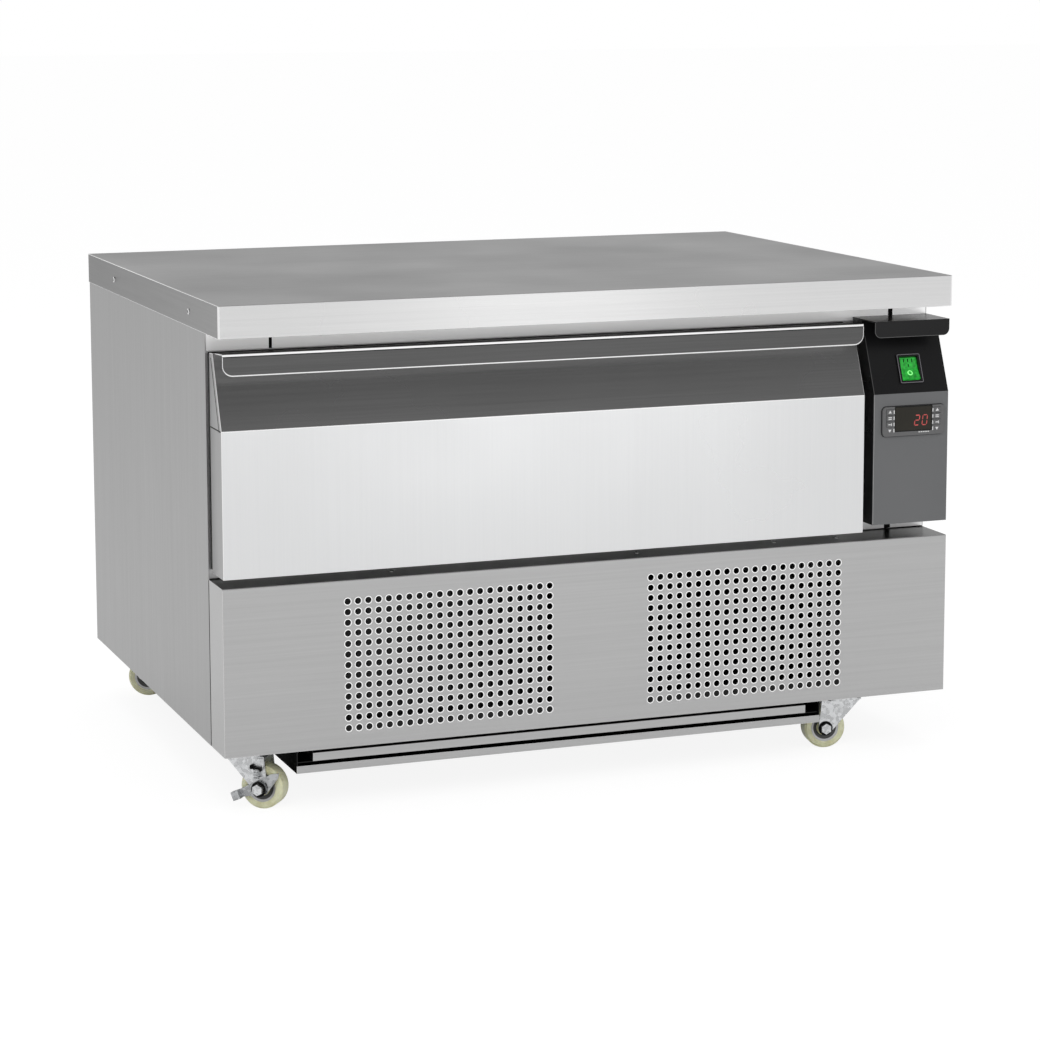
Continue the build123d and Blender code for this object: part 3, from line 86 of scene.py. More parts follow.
class ShaderGraph:
    """The node tree of one material, with a short call for each node that the finishes use."""

    def __init__(self, name: str) -> None:
        """Makes the material with its shader and output.

        Args:
            name: name of the finish.
        """
        self.material = bpy.data.materials.new(f"{name}_finish")
        self.material.use_nodes = True
        self.tree = self.material.node_tree
        self.tree.nodes.clear()
        self.shader = add_node(self.tree, "BsdfPrincipled")
        output = add_node(self.tree, "OutputMaterial")
        self.link(self.shader.outputs["BSDF"], output.inputs["Surface"])

    def link(self, start: bpy.types.NodeSocket, end: bpy.types.NodeSocket) -> None:
        """Joins an output socket to an input socket."""
        self.tree.links.new(start, end)

    def constant(self, socket: str, value: float | Colour) -> None:
        """Sets a value that is the same all over the surface, on the shader's own socket."""
        if isinstance(value, tuple):
            value = (*value, 1.0)
        self.shader.inputs[socket].default_value = value

    def coordinates(self, scale: Point3) -> bpy.types.NodeSocket:
        """Gives object coordinates, stretched by a scale for each axis."""
        source = add_node(self.tree, "TexCoord")
        mapping = add_node(self.tree, "Mapping", Scale=scale)
        self.link(source.outputs["Object"], mapping.inputs["Vector"])
        return mapping.outputs["Vector"]

    def noise(self, scale: Point3, detail: float = 2.0, roughness: float = 0.5) -> bpy.types.NodeSocket:
        """Gives a noise value between 0 and 1.

        Args:
            scale: features per metre along each axis.
            detail: number of finer layers.
            roughness: weight of the finer layers.

        Returns:
            The socket with the noise value.
        """
        node = add_node(self.tree, "TexNoise", Scale=1.0, Detail=detail, Roughness=roughness)
        self.link(self.coordinates(scale), node.inputs["Vector"])
        return node.outputs["Fac"]

    def cells(self, scale: float) -> bpy.types.NodeSocket:
        """Gives one random value for each cell of a cell pattern."""
        node = add_node(self.tree, "TexVoronoi", Scale=1.0)
        self.link(self.coordinates((scale, scale, scale)), node.inputs["Vector"])
        split = add_node(self.tree, "SeparateColor")
        self.link(node.outputs["Color"], split.inputs["Color"])
        return split.outputs["Red"]

    def spread(self, value: bpy.types.NodeSocket, low: float, high: float) -> bpy.types.NodeSocket:
        """Maps a noise value onto a range.

        Args:
            value: noise value, mostly between 0.3 and 0.7.
            low: result at 0.3.
            high: result at 0.7.

        Returns:
            The socket with the mapped value.
        """
        node = add_node(self.tree, "MapRange", From_Min=0.3, From_Max=0.7, To_Min=low, To_Max=high)
        self.link(value, node.inputs["Value"])
        return node.outputs["Result"]

    def between(self, factor: bpy.types.NodeSocket, first: Colour, second: Colour) -> bpy.types.NodeSocket:
        """Mixes two colours by a factor."""
        node = add_node(self.tree, "Mix")
        node.data_type = "RGBA"
        node.inputs[6].default_value = (*first, 1.0)
        node.inputs[7].default_value = (*second, 1.0)
        self.link(factor, node.inputs[0])
        return node.outputs[2]

    def tint(self, value: bpy.types.NodeSocket, colour: Colour, contrast: float) -> None:
        """Gives the surface a colour that varies a little with a noise value."""
        factor = self.spread(value, 0.0, 1.0)
        dark = tuple(channel * (1.0 - contrast) for channel in colour)
        light = tuple(min(1.0, channel * (1.0 + contrast)) for channel in colour)
        self.link(self.between(factor, dark, light), self.shader.inputs["Base Color"])

    def vary(self, socket: str, value: bpy.types.NodeSocket, low: float, high: float) -> None:
        """Lets a value of the shader vary between two limits."""
        self.link(self.spread(value, low, high), self.shader.inputs[socket])

    def relief(self, height: bpy.types.NodeSocket, depth: float, strength: float = 0.5) -> None:
        """Adds a fine relief.

        Args:
            height: noise value that gives the height.
            depth: depth of the relief in metres.
            strength: share of the relief that shows.
        """
        node = add_node(self.tree, "Bump", Strength=strength, Distance=depth)
        self.link(height, node.inputs["Height"])
        self.link(node.outputs["Normal"], self.shader.inputs["Normal"])


@dataclass(frozen=True)
class BrushedSteel:
    """Stainless sheet with fine brush lines in one direction and faint handling marks, and on some pieces an
    even painted glow.
    """

    name: str
    colour: Colour
    roughness: float
    grain: Grain
    contrast: float = 0.05
    edge_tint: float = 1.0
    relief: float = 0.00004
    # painted light: strength of an even glow that the sheet gives off, though it is no lamp
    painted_glow_strength: float = 0.0

    def build(self) -> bpy.types.Material:
        """Makes the material."""
        graph = ShaderGraph(self.name)
        lines = graph.noise(self.grain.value, detail=3.0, roughness=0.7)
        marks = graph.noise((5.0, 5.0, 5.0), detail=3.0)
        graph.tint(lines, self.colour, self.contrast)
        graph.constant("Metallic", 1.0)
        graph.constant("Specular Tint", (self.edge_tint,) * 3)
        graph.vary("Roughness", marks, self.roughness - 0.04, self.roughness + 0.04)
        graph.relief(lines, self.relief, 0.35)
        # painted light: the glow stands in for light that the piece would catch
        if self.painted_glow_strength:
            graph.constant("Emission Color", grey(1.0))
            graph.constant("Emission Strength", self.painted_glow_strength)
        return graph.material


@dataclass(frozen=True)
class GalvanisedSteel:
    """Zinc-coated sheet with a faint spangle."""

    name: str
    colour: Colour
    roughness: float = 0.45
    spangle: float = 160.0
    contrast: float = 0.08

    def build(self) -> bpy.types.Material:
        """Makes the material."""
        graph = ShaderGraph(self.name)
        spangle = graph.cells(self.spangle)
        graph.tint(spangle, self.colour, self.contrast)
        graph.constant("Metallic", 0.9)
        graph.vary("Roughness", spangle, self.roughness - 0.08, self.roughness + 0.08)
        graph.relief(graph.noise((900.0, 900.0, 900.0)), 0.00005, 0.3)
        return graph.material


@dataclass(frozen=True)
class Coating:
    """Paint, moulded plastic or rubber: an opaque colour with a fine skin texture."""

    name: str
    colour: Colour
    roughness: float
    texture: float = 700.0
    depth: float = 0.00008
    contrast: float = 0.06
    metallic: float = 0.0
    shine: float = 0.5

    def build(self) -> bpy.types.Material:
        """Makes the material."""
        graph = ShaderGraph(self.name)
        skin = graph.noise((self.texture, self.texture, self.texture), detail=2.0)
        patches = graph.noise((9.0, 9.0, 9.0), detail=3.0)
        graph.tint(patches, self.colour, self.contrast)
        graph.constant("Metallic", self.metallic)
        graph.constant("Specular IOR Level", self.shine)
        graph.vary("Roughness", patches, self.roughness - 0.05, self.roughness + 0.05)
        graph.relief(skin, self.depth, 0.4)
        return graph.material


@dataclass(frozen=True)
class Nylon:
    """Cast nylon of the castor wheels: creamy, slightly see-through and scuffed on the tread."""

    name: str
    colour: Colour
    scuff: Colour

    def build(self) -> bpy.types.Material:
        """Makes the material."""
        graph = ShaderGraph(self.name)
        scuffs = graph.noise((60.0, 60.0, 60.0), detail=5.0, roughness=0.7)
        factor = graph.spread(scuffs, -0.6, 1.1)
        graph.link(graph.between(factor, self.colour, self.scuff), graph.shader.inputs["Base Color"])
        graph.constant("Subsurface Weight", 0.15)
        graph.shader.inputs["Subsurface Radius"].default_value = (0.004, 0.003, 0.0015)
        graph.vary("Roughness", scuffs, 0.34, 0.5)
        graph.relief(graph.noise((500.0, 500.0, 500.0)), 0.0001, 0.3)
        return graph.material


@dataclass(frozen=True)
class Glowing:
    """A lit plastic: its colour and its own light, uneven as over a small lamp."""

    name: str
    colour: Colour
    glow: Colour
    strength: float
    unevenness: float = 90.0

    def build(self) -> bpy.types.Material:
        """Makes the material."""
        graph = ShaderGraph(self.name)
        lamp = graph.noise((self.unevenness,) * 3, detail=2.0)
        graph.tint(lamp, self.colour, 0.1)
        graph.constant("Roughness", 0.25)
        graph.constant("Emission Color", self.glow)
        graph.vary("Emission Strength", lamp, self.strength * 0.4, self.strength * 1.45)
        return graph.material


def grey(level: float) -> Colour:
    """Gives a neutral grey."""
    return (level, level, level)


FINISHES = {
    finish.name: finish
    for finish in (
        BrushedSteel("worktop_steel", grey(0.64), 0.34, Grain.ALONG_X, 0.05, 0.6),
        # painted light and shade: the worktop's rim and ends are the same sheet as its top, made lighter at
        # front and back and darker at the ends
        BrushedSteel("worktop_rim_painted_light", grey(0.78), 0.28, Grain.ALONG_X, 0.03),
        BrushedSteel("worktop_end_painted_shade", grey(0.45), 0.34, Grain.ALONG_Y, 0.05, 0.6),
        BrushedSteel("side_steel", grey(0.55), 0.34, Grain.ALONG_Z, 0.05, 0.7),
        BrushedSteel("front_steel", (0.765, 0.77, 0.775), 0.3, Grain.ALONG_Z, 0.012),
        # painted shade: the slanted face is the same folded sheet as the bright front, made dark like the
        # recess's shade
        BrushedSteel("slant_painted_shade", grey(0.2), 0.26, Grain.ALONG_X, 0.08),
        BrushedSteel("lip_steel", grey(0.12), 0.34, Grain.ALONG_X, 0.08),
        # painted light: the lip's back glows so that the slant below it shows a lighter band
        BrushedSteel("lip_back_painted_glow", grey(0.6), 0.4, Grain.ALONG_X, 0.05, painted_glow_strength=0.5),
        # painted shade: a darker copy of the front's steel, for the lower panel, the drip tray and the carrier's
        # lip
        BrushedSteel("panel_painted_shade", grey(0.49), 0.33, Grain.ALONG_X, 0.04),
        # painted shade: a dark copy of the steel for the lower panel's top flange, which lies under the drawer
        BrushedSteel("flange_painted_shade", grey(0.13), 0.32, Grain.ALONG_X, 0.08),
        BrushedSteel("frame_steel", grey(0.8), 0.3, Grain.ALONG_X),
        # painted light: a lighter, glowing copy of the steel that brightens the shaded rail under the worktop
        BrushedSteel("rail_painted_glow", grey(0.95), 0.4, Grain.ALONG_X, 0.04, painted_glow_strength=0.13),
        # painted highlight: a near-white copy of the steel for rounded edges, folds, hems and flange fronts
        BrushedSteel("fold_painted_highlight", grey(0.97), 0.3, Grain.ALONG_X, 0.02),
        # painted highlight: a glowing ring of light steel round each hole
        BrushedSteel("hole_rim_painted_glow", grey(0.97), 0.35, Grain.ALONG_X, 0.02, painted_glow_strength=0.2),
        BrushedSteel("liner_steel", (0.6, 0.61, 0.62), 0.36, Grain.ALONG_Y),
        BrushedSteel("slide_zinc", (0.6, 0.61, 0.62), 0.3, Grain.ALONG_Y, 0.04),
        GalvanisedSteel("castor_zinc", (0.66, 0.67, 0.68), 0.3, 280.0, 0.16),
        GalvanisedSteel("brake_zinc", (0.44, 0.45, 0.46), 0.3, 280.0, 0.2),
        BrushedSteel("screw_zinc", grey(0.74), 0.24, Grain.ALONG_X, 0.03),
        # painted shade: a near-black copy of the steel, so that the base pan seen through the holes and the
        # carrier under the base look shaded
        BrushedSteel("base_painted_shade", grey(0.025), 0.5, Grain.ALONG_Y, 0.06, 0.3),
        # painted shade: a near-black copy of the steel for the top faces of the drawer front and its flange,
        # standing in for the shade under the worktop
        BrushedSteel("top_painted_shade", grey(0.07), 0.45, Grain.ALONG_X, 0.08, 0.25),
        GalvanisedSteel("back_sheet", (0.5, 0.51, 0.52)),
        Coating("board", (0.42, 0.3, 0.19), 0.75, 240.0, 0.0003, 0.25),
        Coating("foam", (0.78, 0.68, 0.42), 0.85, 420.0, 0.0006, 0.15),
        Coating("black_moulding", (0.009, 0.009, 0.0096), 0.3, 900.0, 0.00004, 0.1, 0.0, 0.25),
        Coating("grey_paint", (0.145, 0.148, 0.152), 0.4, 1100.0, 0.00005, 0.04),
        Coating("controller_moulding", (0.13, 0.13, 0.132), 0.45, 1200.0, 0.00004, 0.05),
        # black for print and for painted shade in recesses, seams and round the controller
        Coating("print_and_painted_shade_black", grey(0.003), 0.5, 900.0, 0.00003, 0.05, 0.0, 0.1),
        # painted highlight: light lines on the black moulding's edges
        Coating("moulding_painted_highlight", grey(0.11), 0.4, 900.0, 0.00003, 0.05),
        # painted highlight: a light line on the switch bezel's edge
        Coating("bezel_painted_highlight", (0.2, 0.19, 0.21), 0.4, 900.0, 0.00003, 0.1),
        # painted highlight: a light line on the grey plate's edge
        Coating("plate_painted_highlight", grey(0.4), 0.4, 900.0, 0.00003, 0.05),
        Coating("cap_grey", grey(0.07), 0.4, 500.0, 0.00004, 0.15, 0.6),
        Coating("cap_light", grey(0.5), 0.4, 500.0, 0.00004, 0.2, 0.8),
        Coating("display_window", (0.022, 0.019, 0.012), 0.12, 300.0, 0.00001, 0.3, 0.0, 0.3),
        Coating("mark_white", (0.82, 0.82, 0.82), 0.5, 900.0, 0.00002, 0.04),
        # real black rubber, and also painted shade in the frame's slots and in the seams
        Coating("rubber_and_painted_gap_shade", grey(0.005), 0.6, 600.0, 0.0002, 0.15, 0.0, 0.12),
        # black coating of the condenser coil, made black also as painted shade so the holes in front look dark
        Coating("condenser_black_and_shade", (0.02, 0.02, 0.021), 0.45, 500.0, 0.0001, 0.15),
        Coating("compressor_black", (0.015, 0.015, 0.016), 0.32, 260.0, 0.0002, 0.1),
        Coating("fan_plastic", (0.02, 0.02, 0.022), 0.4, 700.0, 0.00008, 0.1),
        Coating("coil_aluminium", (0.62, 0.63, 0.64), 0.38, 900.0, 0.00008, 0.08, 1.0),
        Coating("copper", (0.62, 0.3, 0.18), 0.3, 200.0, 0.00004, 0.2, 1.0),
        Nylon("castor_nylon", (0.86, 0.86, 0.6), (0.68, 0.67, 0.4)),
        Glowing("rocker_green", (0.01, 0.14, 0.02), (0.025, 0.55, 0.05), 0.5, 210.0),
        Glowing("rocker_mark", (0.2, 0.6, 0.2), (0.25, 1.0, 0.25), 0.8),
        Glowing("digit_red", (0.3, 0.04, 0.04), (0.75, 0.12, 0.11), 0.5),
    )
}


def finish_material(name: str) -> bpy.types.Material:
    """Gives the material of a finish, made on its first use."""
    made = bpy.data.materials.get(f"{name}_finish")
    return made if made else FINISHES[name].build()


class Blank:
    """A mesh in the making, in metres in the row frame."""

    def __init__(self) -> None:
        """Starts an empty mesh."""
        self.mesh = bmesh.new()

    def face(self, points: list[Point3], finish: int = 0) -> bmesh.types.BMFace:
        """Adds one face with corners of its own.

        Args:
            points: corners in order.
            finish: number of the finish in the piece's list.

        Returns:
            The new face.
        """
        face = self.mesh.faces.new([self.mesh.verts.new(point) for point in points])
        face.material_index = finish
        return face

    def ribbon(
        self, outer: list[Point3], inner: list[Point3], finish: int = 0, closed: bool = False
    ) -> None:
        """Adds the band of faces between two outlines with as many points.

        Args:
            outer: points of the one outline.
            inner: points of the other outline.
            finish: number of the finish in the piece's list.
            closed: whether the band runs on from the last points to the first.
        """
        quads = list(zip(outer, outer[1:] + outer[:1], inner[1:] + inner[:1], inner))
        for quad in quads if closed else quads[:-1]:
            self.face(list(quad), finish)

    def box(self, low: Point3, high: Point3) -> None:
        """Adds a closed box between two opposite corners."""
        corners = [(x, y, z) for x in (low[0], high[0]) for y in (low[1], high[1]) for z in (low[2], high[2])]
        verts = [self.mesh.verts.new(corner) for corner in corners]
        for loop in ((0, 1, 3, 2), (4, 6, 7, 5), (0, 4, 5, 1), (2, 3, 7, 6), (0, 2, 6, 4), (1, 5, 7, 3)):
            self.mesh.faces.new([verts[i] for i in loop])

    def slab(self, outline: list[Point3], depth: Vector, far_finish: int = 0) -> None:
        """Adds a closed slab: a flat outline and its copy, moved by the depth.

        Args:
            outline: corners of the near face.
            depth: way from the near face to the far face.
            far_finish: number of the far face's finish.
        """
        near = [self.mesh.verts.new(point) for point in outline]
        far = [self.mesh.verts.new(Vector(point) + depth) for point in outline]
        self.mesh.faces.new(near[::-1])
        self.mesh.faces.new(far).material_index = far_finish
        for i, start in enumerate(near):
            j = (i + 1) % len(near)
            self.mesh.faces.new([start, near[j], far[j], far[i]])

    def turned(self, profile: list[Point2], place: Matrix, segments: int = 48) -> None:
        """Adds a turned solid about the local Z axis.

        Args:
            profile: closed outline of (radius, height) points. Points on the axis have radius 0.
            place: where the local frame stands.
            segments: facets round the axis.
        """
        rings = []
        for radius, height in profile:
            if radius < 1e-7:
                rings.append([self.mesh.verts.new(place @ Vector((0.0, 0.0, height)))])
                continue
            ring = []
            for i in range(segments):
                angle = 2.0 * math.pi * i / segments
                point = Vector((radius * math.cos(angle), radius * math.sin(angle), height))
                ring.append(self.mesh.verts.new(place @ point))
            rings.append(ring)
        for ring, following in zip(rings, rings[1:] + rings[:1]):
            self._band(ring, following, segments)

    def _band(self, ring: list, following: list, segments: int) -> None:
        """Closes the band between two rings of a turned solid."""
        if len(ring) == 1 and len(following) == 1:
            return
        for i in range(segments):
            j = (i + 1) % segments
            if len(ring) == 1:
                self.mesh.faces.new([ring[0], following[j], following[i]])
            elif len(following) == 1:
                self.mesh.faces.new([ring[i], ring[j], following[0]])
            else:
                self.mesh.faces.new([ring[i], ring[j], following[j], following[i]])

    def piece(self, name: str, finishes: list[str], weld: bool = True) -> bpy.types.Object:
        """Turns the mesh into an object.

        Args:
            name: name of the piece.
            finishes: names of its finishes, in the order of the faces' numbers.
            weld: whether corners in one place become one.

        Returns:
            The new object.
        """
        if weld:
            bmesh.ops.remove_doubles(self.mesh, verts=self.mesh.verts, dist=1e-6)
        bmesh.ops.recalc_face_normals(self.mesh, faces=self.mesh.faces)
        data = bpy.data.meshes.new(name)
        self.mesh.to_mesh(data)
        self.mesh.free()
        made = bpy.data.objects.new(name, data)
        for finish in finishes:
            data.materials.append(finish_material(finish))
        bpy.context.scene.collection.objects.link(made)
        return made


def thicken(piece: bpy.types.Object, thickness: float) -> None:
    """Gives an open sheet its thickness, inwards from its outer faces."""
    modifier = piece.modifiers.new("sheet", "SOLIDIFY")
    modifier.thickness = thickness
    modifier.offset = -1.0
    modifier.use_even_offset = True


def soften(
    piece: bpy.types.Object, radius: float, segments: int = 2, limit: float = 35.0, finish: int = -1
) -> None:
    """Rounds the sharp edges of a piece, as folding and moulding do.

    Args:
        piece: the object.
        radius: radius of the rounding in metres.
        segments: facets of the rounding.
        limit: smallest angle of an edge that is rounded, in degrees.
        finish: number of the finish on the rounding, or -1 for that of the faces beside it.
    """
    modifier = piece.modifiers.new("edges", "BEVEL")
    modifier.width = radius
    modifier.segments = segments
    modifier.limit_method = "ANGLE"
    modifier.angle_limit = math.radians(limit)
    modifier.harden_normals = False
    modifier.material = finish


def smooth(piece: bpy.types.Object, limit: float = 40.0) -> None:
    """Shades a piece smooth, except over edges sharper than the limit."""
    piece.data.polygons.foreach_set("use_smooth", [True] * len(piece.data.polygons))
    piece.data.set_sharp_from_angle(angle=math.radians(limit))


def fit_out(piece: bpy.types.Object, body: str, slot: str, *nodes: str) -> bpy.types.Object:
    """Fixes a finished piece to its body.

    Args:
        piece: the object, in its place.
        body: body that it moves with.
        slot: material slot of the record; not used.
        nodes: CAD nodes that it stands for.

    Returns:
        The same object.
    """
    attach(piece, body)
    if nodes:
        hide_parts(*nodes)
    log.info("%s rides on %s", piece.name, body)
    return piece


def lay_on(
    blank: Blank, name: str, finish: str, body: str, slot: str, thickness: float = 0.00006, weld: bool = True
) -> None:
    """Makes a thin piece that lies on a face, such as a printed sign or a bright line, and fixes it.

    Args:
        blank: its open sheet.
        name: name of the piece.
        finish: name of its finish.
        body: body that it moves with.
        slot: material slot of the record.
        thickness: how far it stands out, in metres.
        weld: whether corners in one place become one.
    """
    piece = blank.piece(name, [finish], weld)
    thicken(piece, thickness)
    fit_out(piece, body, slot)


def dress(node: str, finish: str, edge: float = 0.0) -> None:
    """Gives a CAD node its finish, and rounds its edges where a radius is given."""
    piece = frame["nodes"][node]
    for slot in piece.material_slots:
        slot.link = "OBJECT"
        slot.material = finish_material(finish)
    if edge:
        soften(piece, edge)
    log.info("%s is dressed in %s", node, finish)


def arc(centre: Point2, radius: float, start: float, end: float, steps: int) -> list[Point2]:
    """Gives points on an arc, angles in degrees, both ends included."""
    points = []
    for i in range(steps + 1):
        angle = math.radians(start + (end - start) * i / steps)
        points.append((centre[0] + radius * math.cos(angle), centre[1] + radius * math.sin(angle)))
    return points


def rounded(low: Point2, high: Point2, radius: float, grow: float = 0.0, steps: int = 3) -> list[Point2]:
    """Gives the outline of a rectangle with rounded corners.

    Args:
        low: its lower left corner.
        high: its upper right corner.
        radius: radius of its corners.
        grow: how far the outline lies outside the rectangle.
        steps: facets of each corner.

    Returns:
        The points, counter-clockwise from the upper right corner.
    """
    points = []
    middle = ((low[0] + high[0]) / 2, (low[1] + high[1]) / 2)
    spots = ((high[0], high[1], 0.0), (low[0], high[1], 90.0), (low[0], low[1], 180.0), (high[0], low[1], 270.0))
    for x, y, start in spots:
        centre = (x - math.copysign(radius, x - middle[0]), y - math.copysign(radius, y - middle[1]))
        points += arc(centre, radius + grow, start, start + 90.0, steps)
    return points


def upright(outline: list[Point2], y: float) -> list[Point3]:
    """Stands an outline up in the plane of the front, at a depth Y."""
    return [(x, y, z) for x, z in outline]


def corners(node: str) -> tuple[Vector, Vector]:
    """Gives the lowest and highest corner of a CAD node."""
    low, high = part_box(node)
    return Vector(low), Vector(high)


@dataclass(frozen=True)
class Recess:
    """Side outline that the drawer front and the control moulding share: a slant over an upright face."""

    fold: float = 0.434
    slope: float = 0.035 / 0.087

    def depth(self, level: float) -> float:
        """Gives how far the slanted face lies behind the upright face at a height."""
        return (level - self.fold) * self.slope


@dataclass
class Worktop:
    """Folded steel worktop over a board, with a screw pair in each end."""

    sheet: float = 0.0012
    flange: float = 0.015
    corner: float = 0.002
    edge: float = 0.0009

    def build(self) -> None:
        """Makes the pan and dresses the board."""
        low, high = corners("worktop_skin")
        blank = Blank()
        inset = Vector((self.sheet + self.flange,) * 3)
        plan = rounded(low.xy, high.xy, self.corner)
        inner = rounded((low + inset).xy, (high - inset).xy, self.corner)
        blank.face([(x, y, high.z) for x, y in plan])
        for i, (x0, y0) in enumerate(plan):
            x1, y1 = plan[(i + 1) % len(plan)]
            rim = self._rim_finish((x0, y0), (x1, y1))
            blank.face([(x0, y0, low.z), (x1, y1, low.z), (x1, y1, high.z), (x0, y0, high.z)], rim)
            u0, v0 = inner[i]
            u1, v1 = inner[(i + 1) % len(plan)]
            blank.face([(x0, y0, low.z), (u0, v0, low.z), (u1, v1, low.z), (x1, y1, low.z)], 1)
        # the rim and end finishes are painted light and shade on one sheet; the last one is a painted highlight
        # on the edges
        finishes = ["worktop_steel", "worktop_rim_painted_light", "worktop_end_painted_shade", "fold_painted_highlight"]
        pan = blank.piece("worktop_pan", finishes)
        thicken(pan, self.sheet)
        # the rounded edges get the painted highlight
        soften(pan, self.edge, 3, finish=3)
        smooth(pan)
        fit_out(pan, "cabinet", "stainless_sheet", "worktop_skin")
        dress("worktop_core", "board")

    def _rim_finish(self, start: Point2, end: Point2) -> int:
        """Gives the finish of one face of the rim: a lighter painted-light copy for front and back, a darker
        painted-shade copy for an end, or the painted highlight for a rounded corner.
        """
        along_x, along_y = abs(end[0] - start[0]), abs(end[1] - start[1])
        if max(along_x, along_y) < self.corner:
            return 3
        return 1 if along_x > along_y else 2


@dataclass
class Carcass:
    """Side and back sheets, front frame, lining, insulation and deck."""

    SHEETS = {
        "left_side_panel": "side_steel", "right_side_panel": "side_steel",
        # the base pan's finish is painted shade
        "base_pan": "base_painted_shade", "cable_bush": "rubber_and_painted_gap_shade",
    }
    LININGS = {
        "back_panel": "back_sheet", "cabinet_liner": "liner_steel",
        "cabinet_insulation": "foam", "machine_deck": "back_sheet",
    }

    edge: float = 0.0006
    frame_edge: float = 0.0004
    joint_height: float = 0.0198
    joints: tuple[tuple[float, float, bool], ...] = (
        (-0.374, 0.0037, True), (0.4, 0.006, True), (0.4, 0.008, False)
    )
    seam_width: float = 0.0022
    inset: float = 0.0005

    def build(self) -> None:
        """Dresses the sheets, lays painted light on the top rail and fills the joints and side seams with
        painted shade.
        """
        for node, finish in self.SHEETS.items():
            dress(node, finish, self.edge)
        for node, finish in self.LININGS.items():
            dress(node, finish)
        dress("front_frame", "frame_steel", self.frame_edge)
        self._painted_rail_light()
        self._joints()
        self._side_seams()

    def _painted_rail_light(self) -> None:
        """Makes a strip of painted light on the frame's top rail, which shows above the drawer: a lighter,
        glowing copy of the rail's steel.
        """
        low, high = corners("front_frame")
        blank = Blank()
        blank.box(
            (low.x + self.inset, low.y - 0.0001, high.z - self.joint_height),
            (high.x - self.inset, low.y + 0.0001, high.z - 0.0002),
        )
        # the strip is painted light over the rail
        fit_out(blank.piece("rail_face_painted_light", ["rail_painted_glow"]), "cabinet", "stainless_sheet")

    def _joints(self) -> None:
        """Makes black strips in the three joints of the front frame: painted shade that fills the slots."""
        low, high = corners("front_frame")
        blank = Blank()
        for x, width, upper in self.joints:
            bottom = high.z - self.joint_height if upper else low.z + 0.0002
            top = bottom + self.joint_height - 0.0004
            blank.box((x - width / 2, low.y - 0.0002, bottom), (x + width / 2, low.y + 0.0006, top))
        # painted shade in the slots
        seal = blank.piece("frame_joint_painted_shade", ["rubber_and_painted_gap_shade"])
        soften(seal, 0.0001)
        fit_out(seal, "cabinet", "rubber_black")

    def _side_seams(self) -> None:
        """Makes dark strips of painted shade in the seams between the side panels and the lower front panel."""
        low, high = corners("lower_front_panel")
        blank = Blank()
        for side in (-1.0, 1.0):
            face = low.x - 0.00015 if side < 0 else high.x - 0.0003
            blank.box(
                (face, high.y - self.seam_width / 2, low.z + self.inset),
                (face + 0.00045, high.y + self.seam_width / 2, high.z - self.inset),
            )
        # the seams are painted shade
        seams = blank.piece("side_seam_painted_shade", ["rubber_and_painted_gap_shade"])
        soften(seams, 0.0001)
        fit_out(seams, "cabinet", "rubber_black")


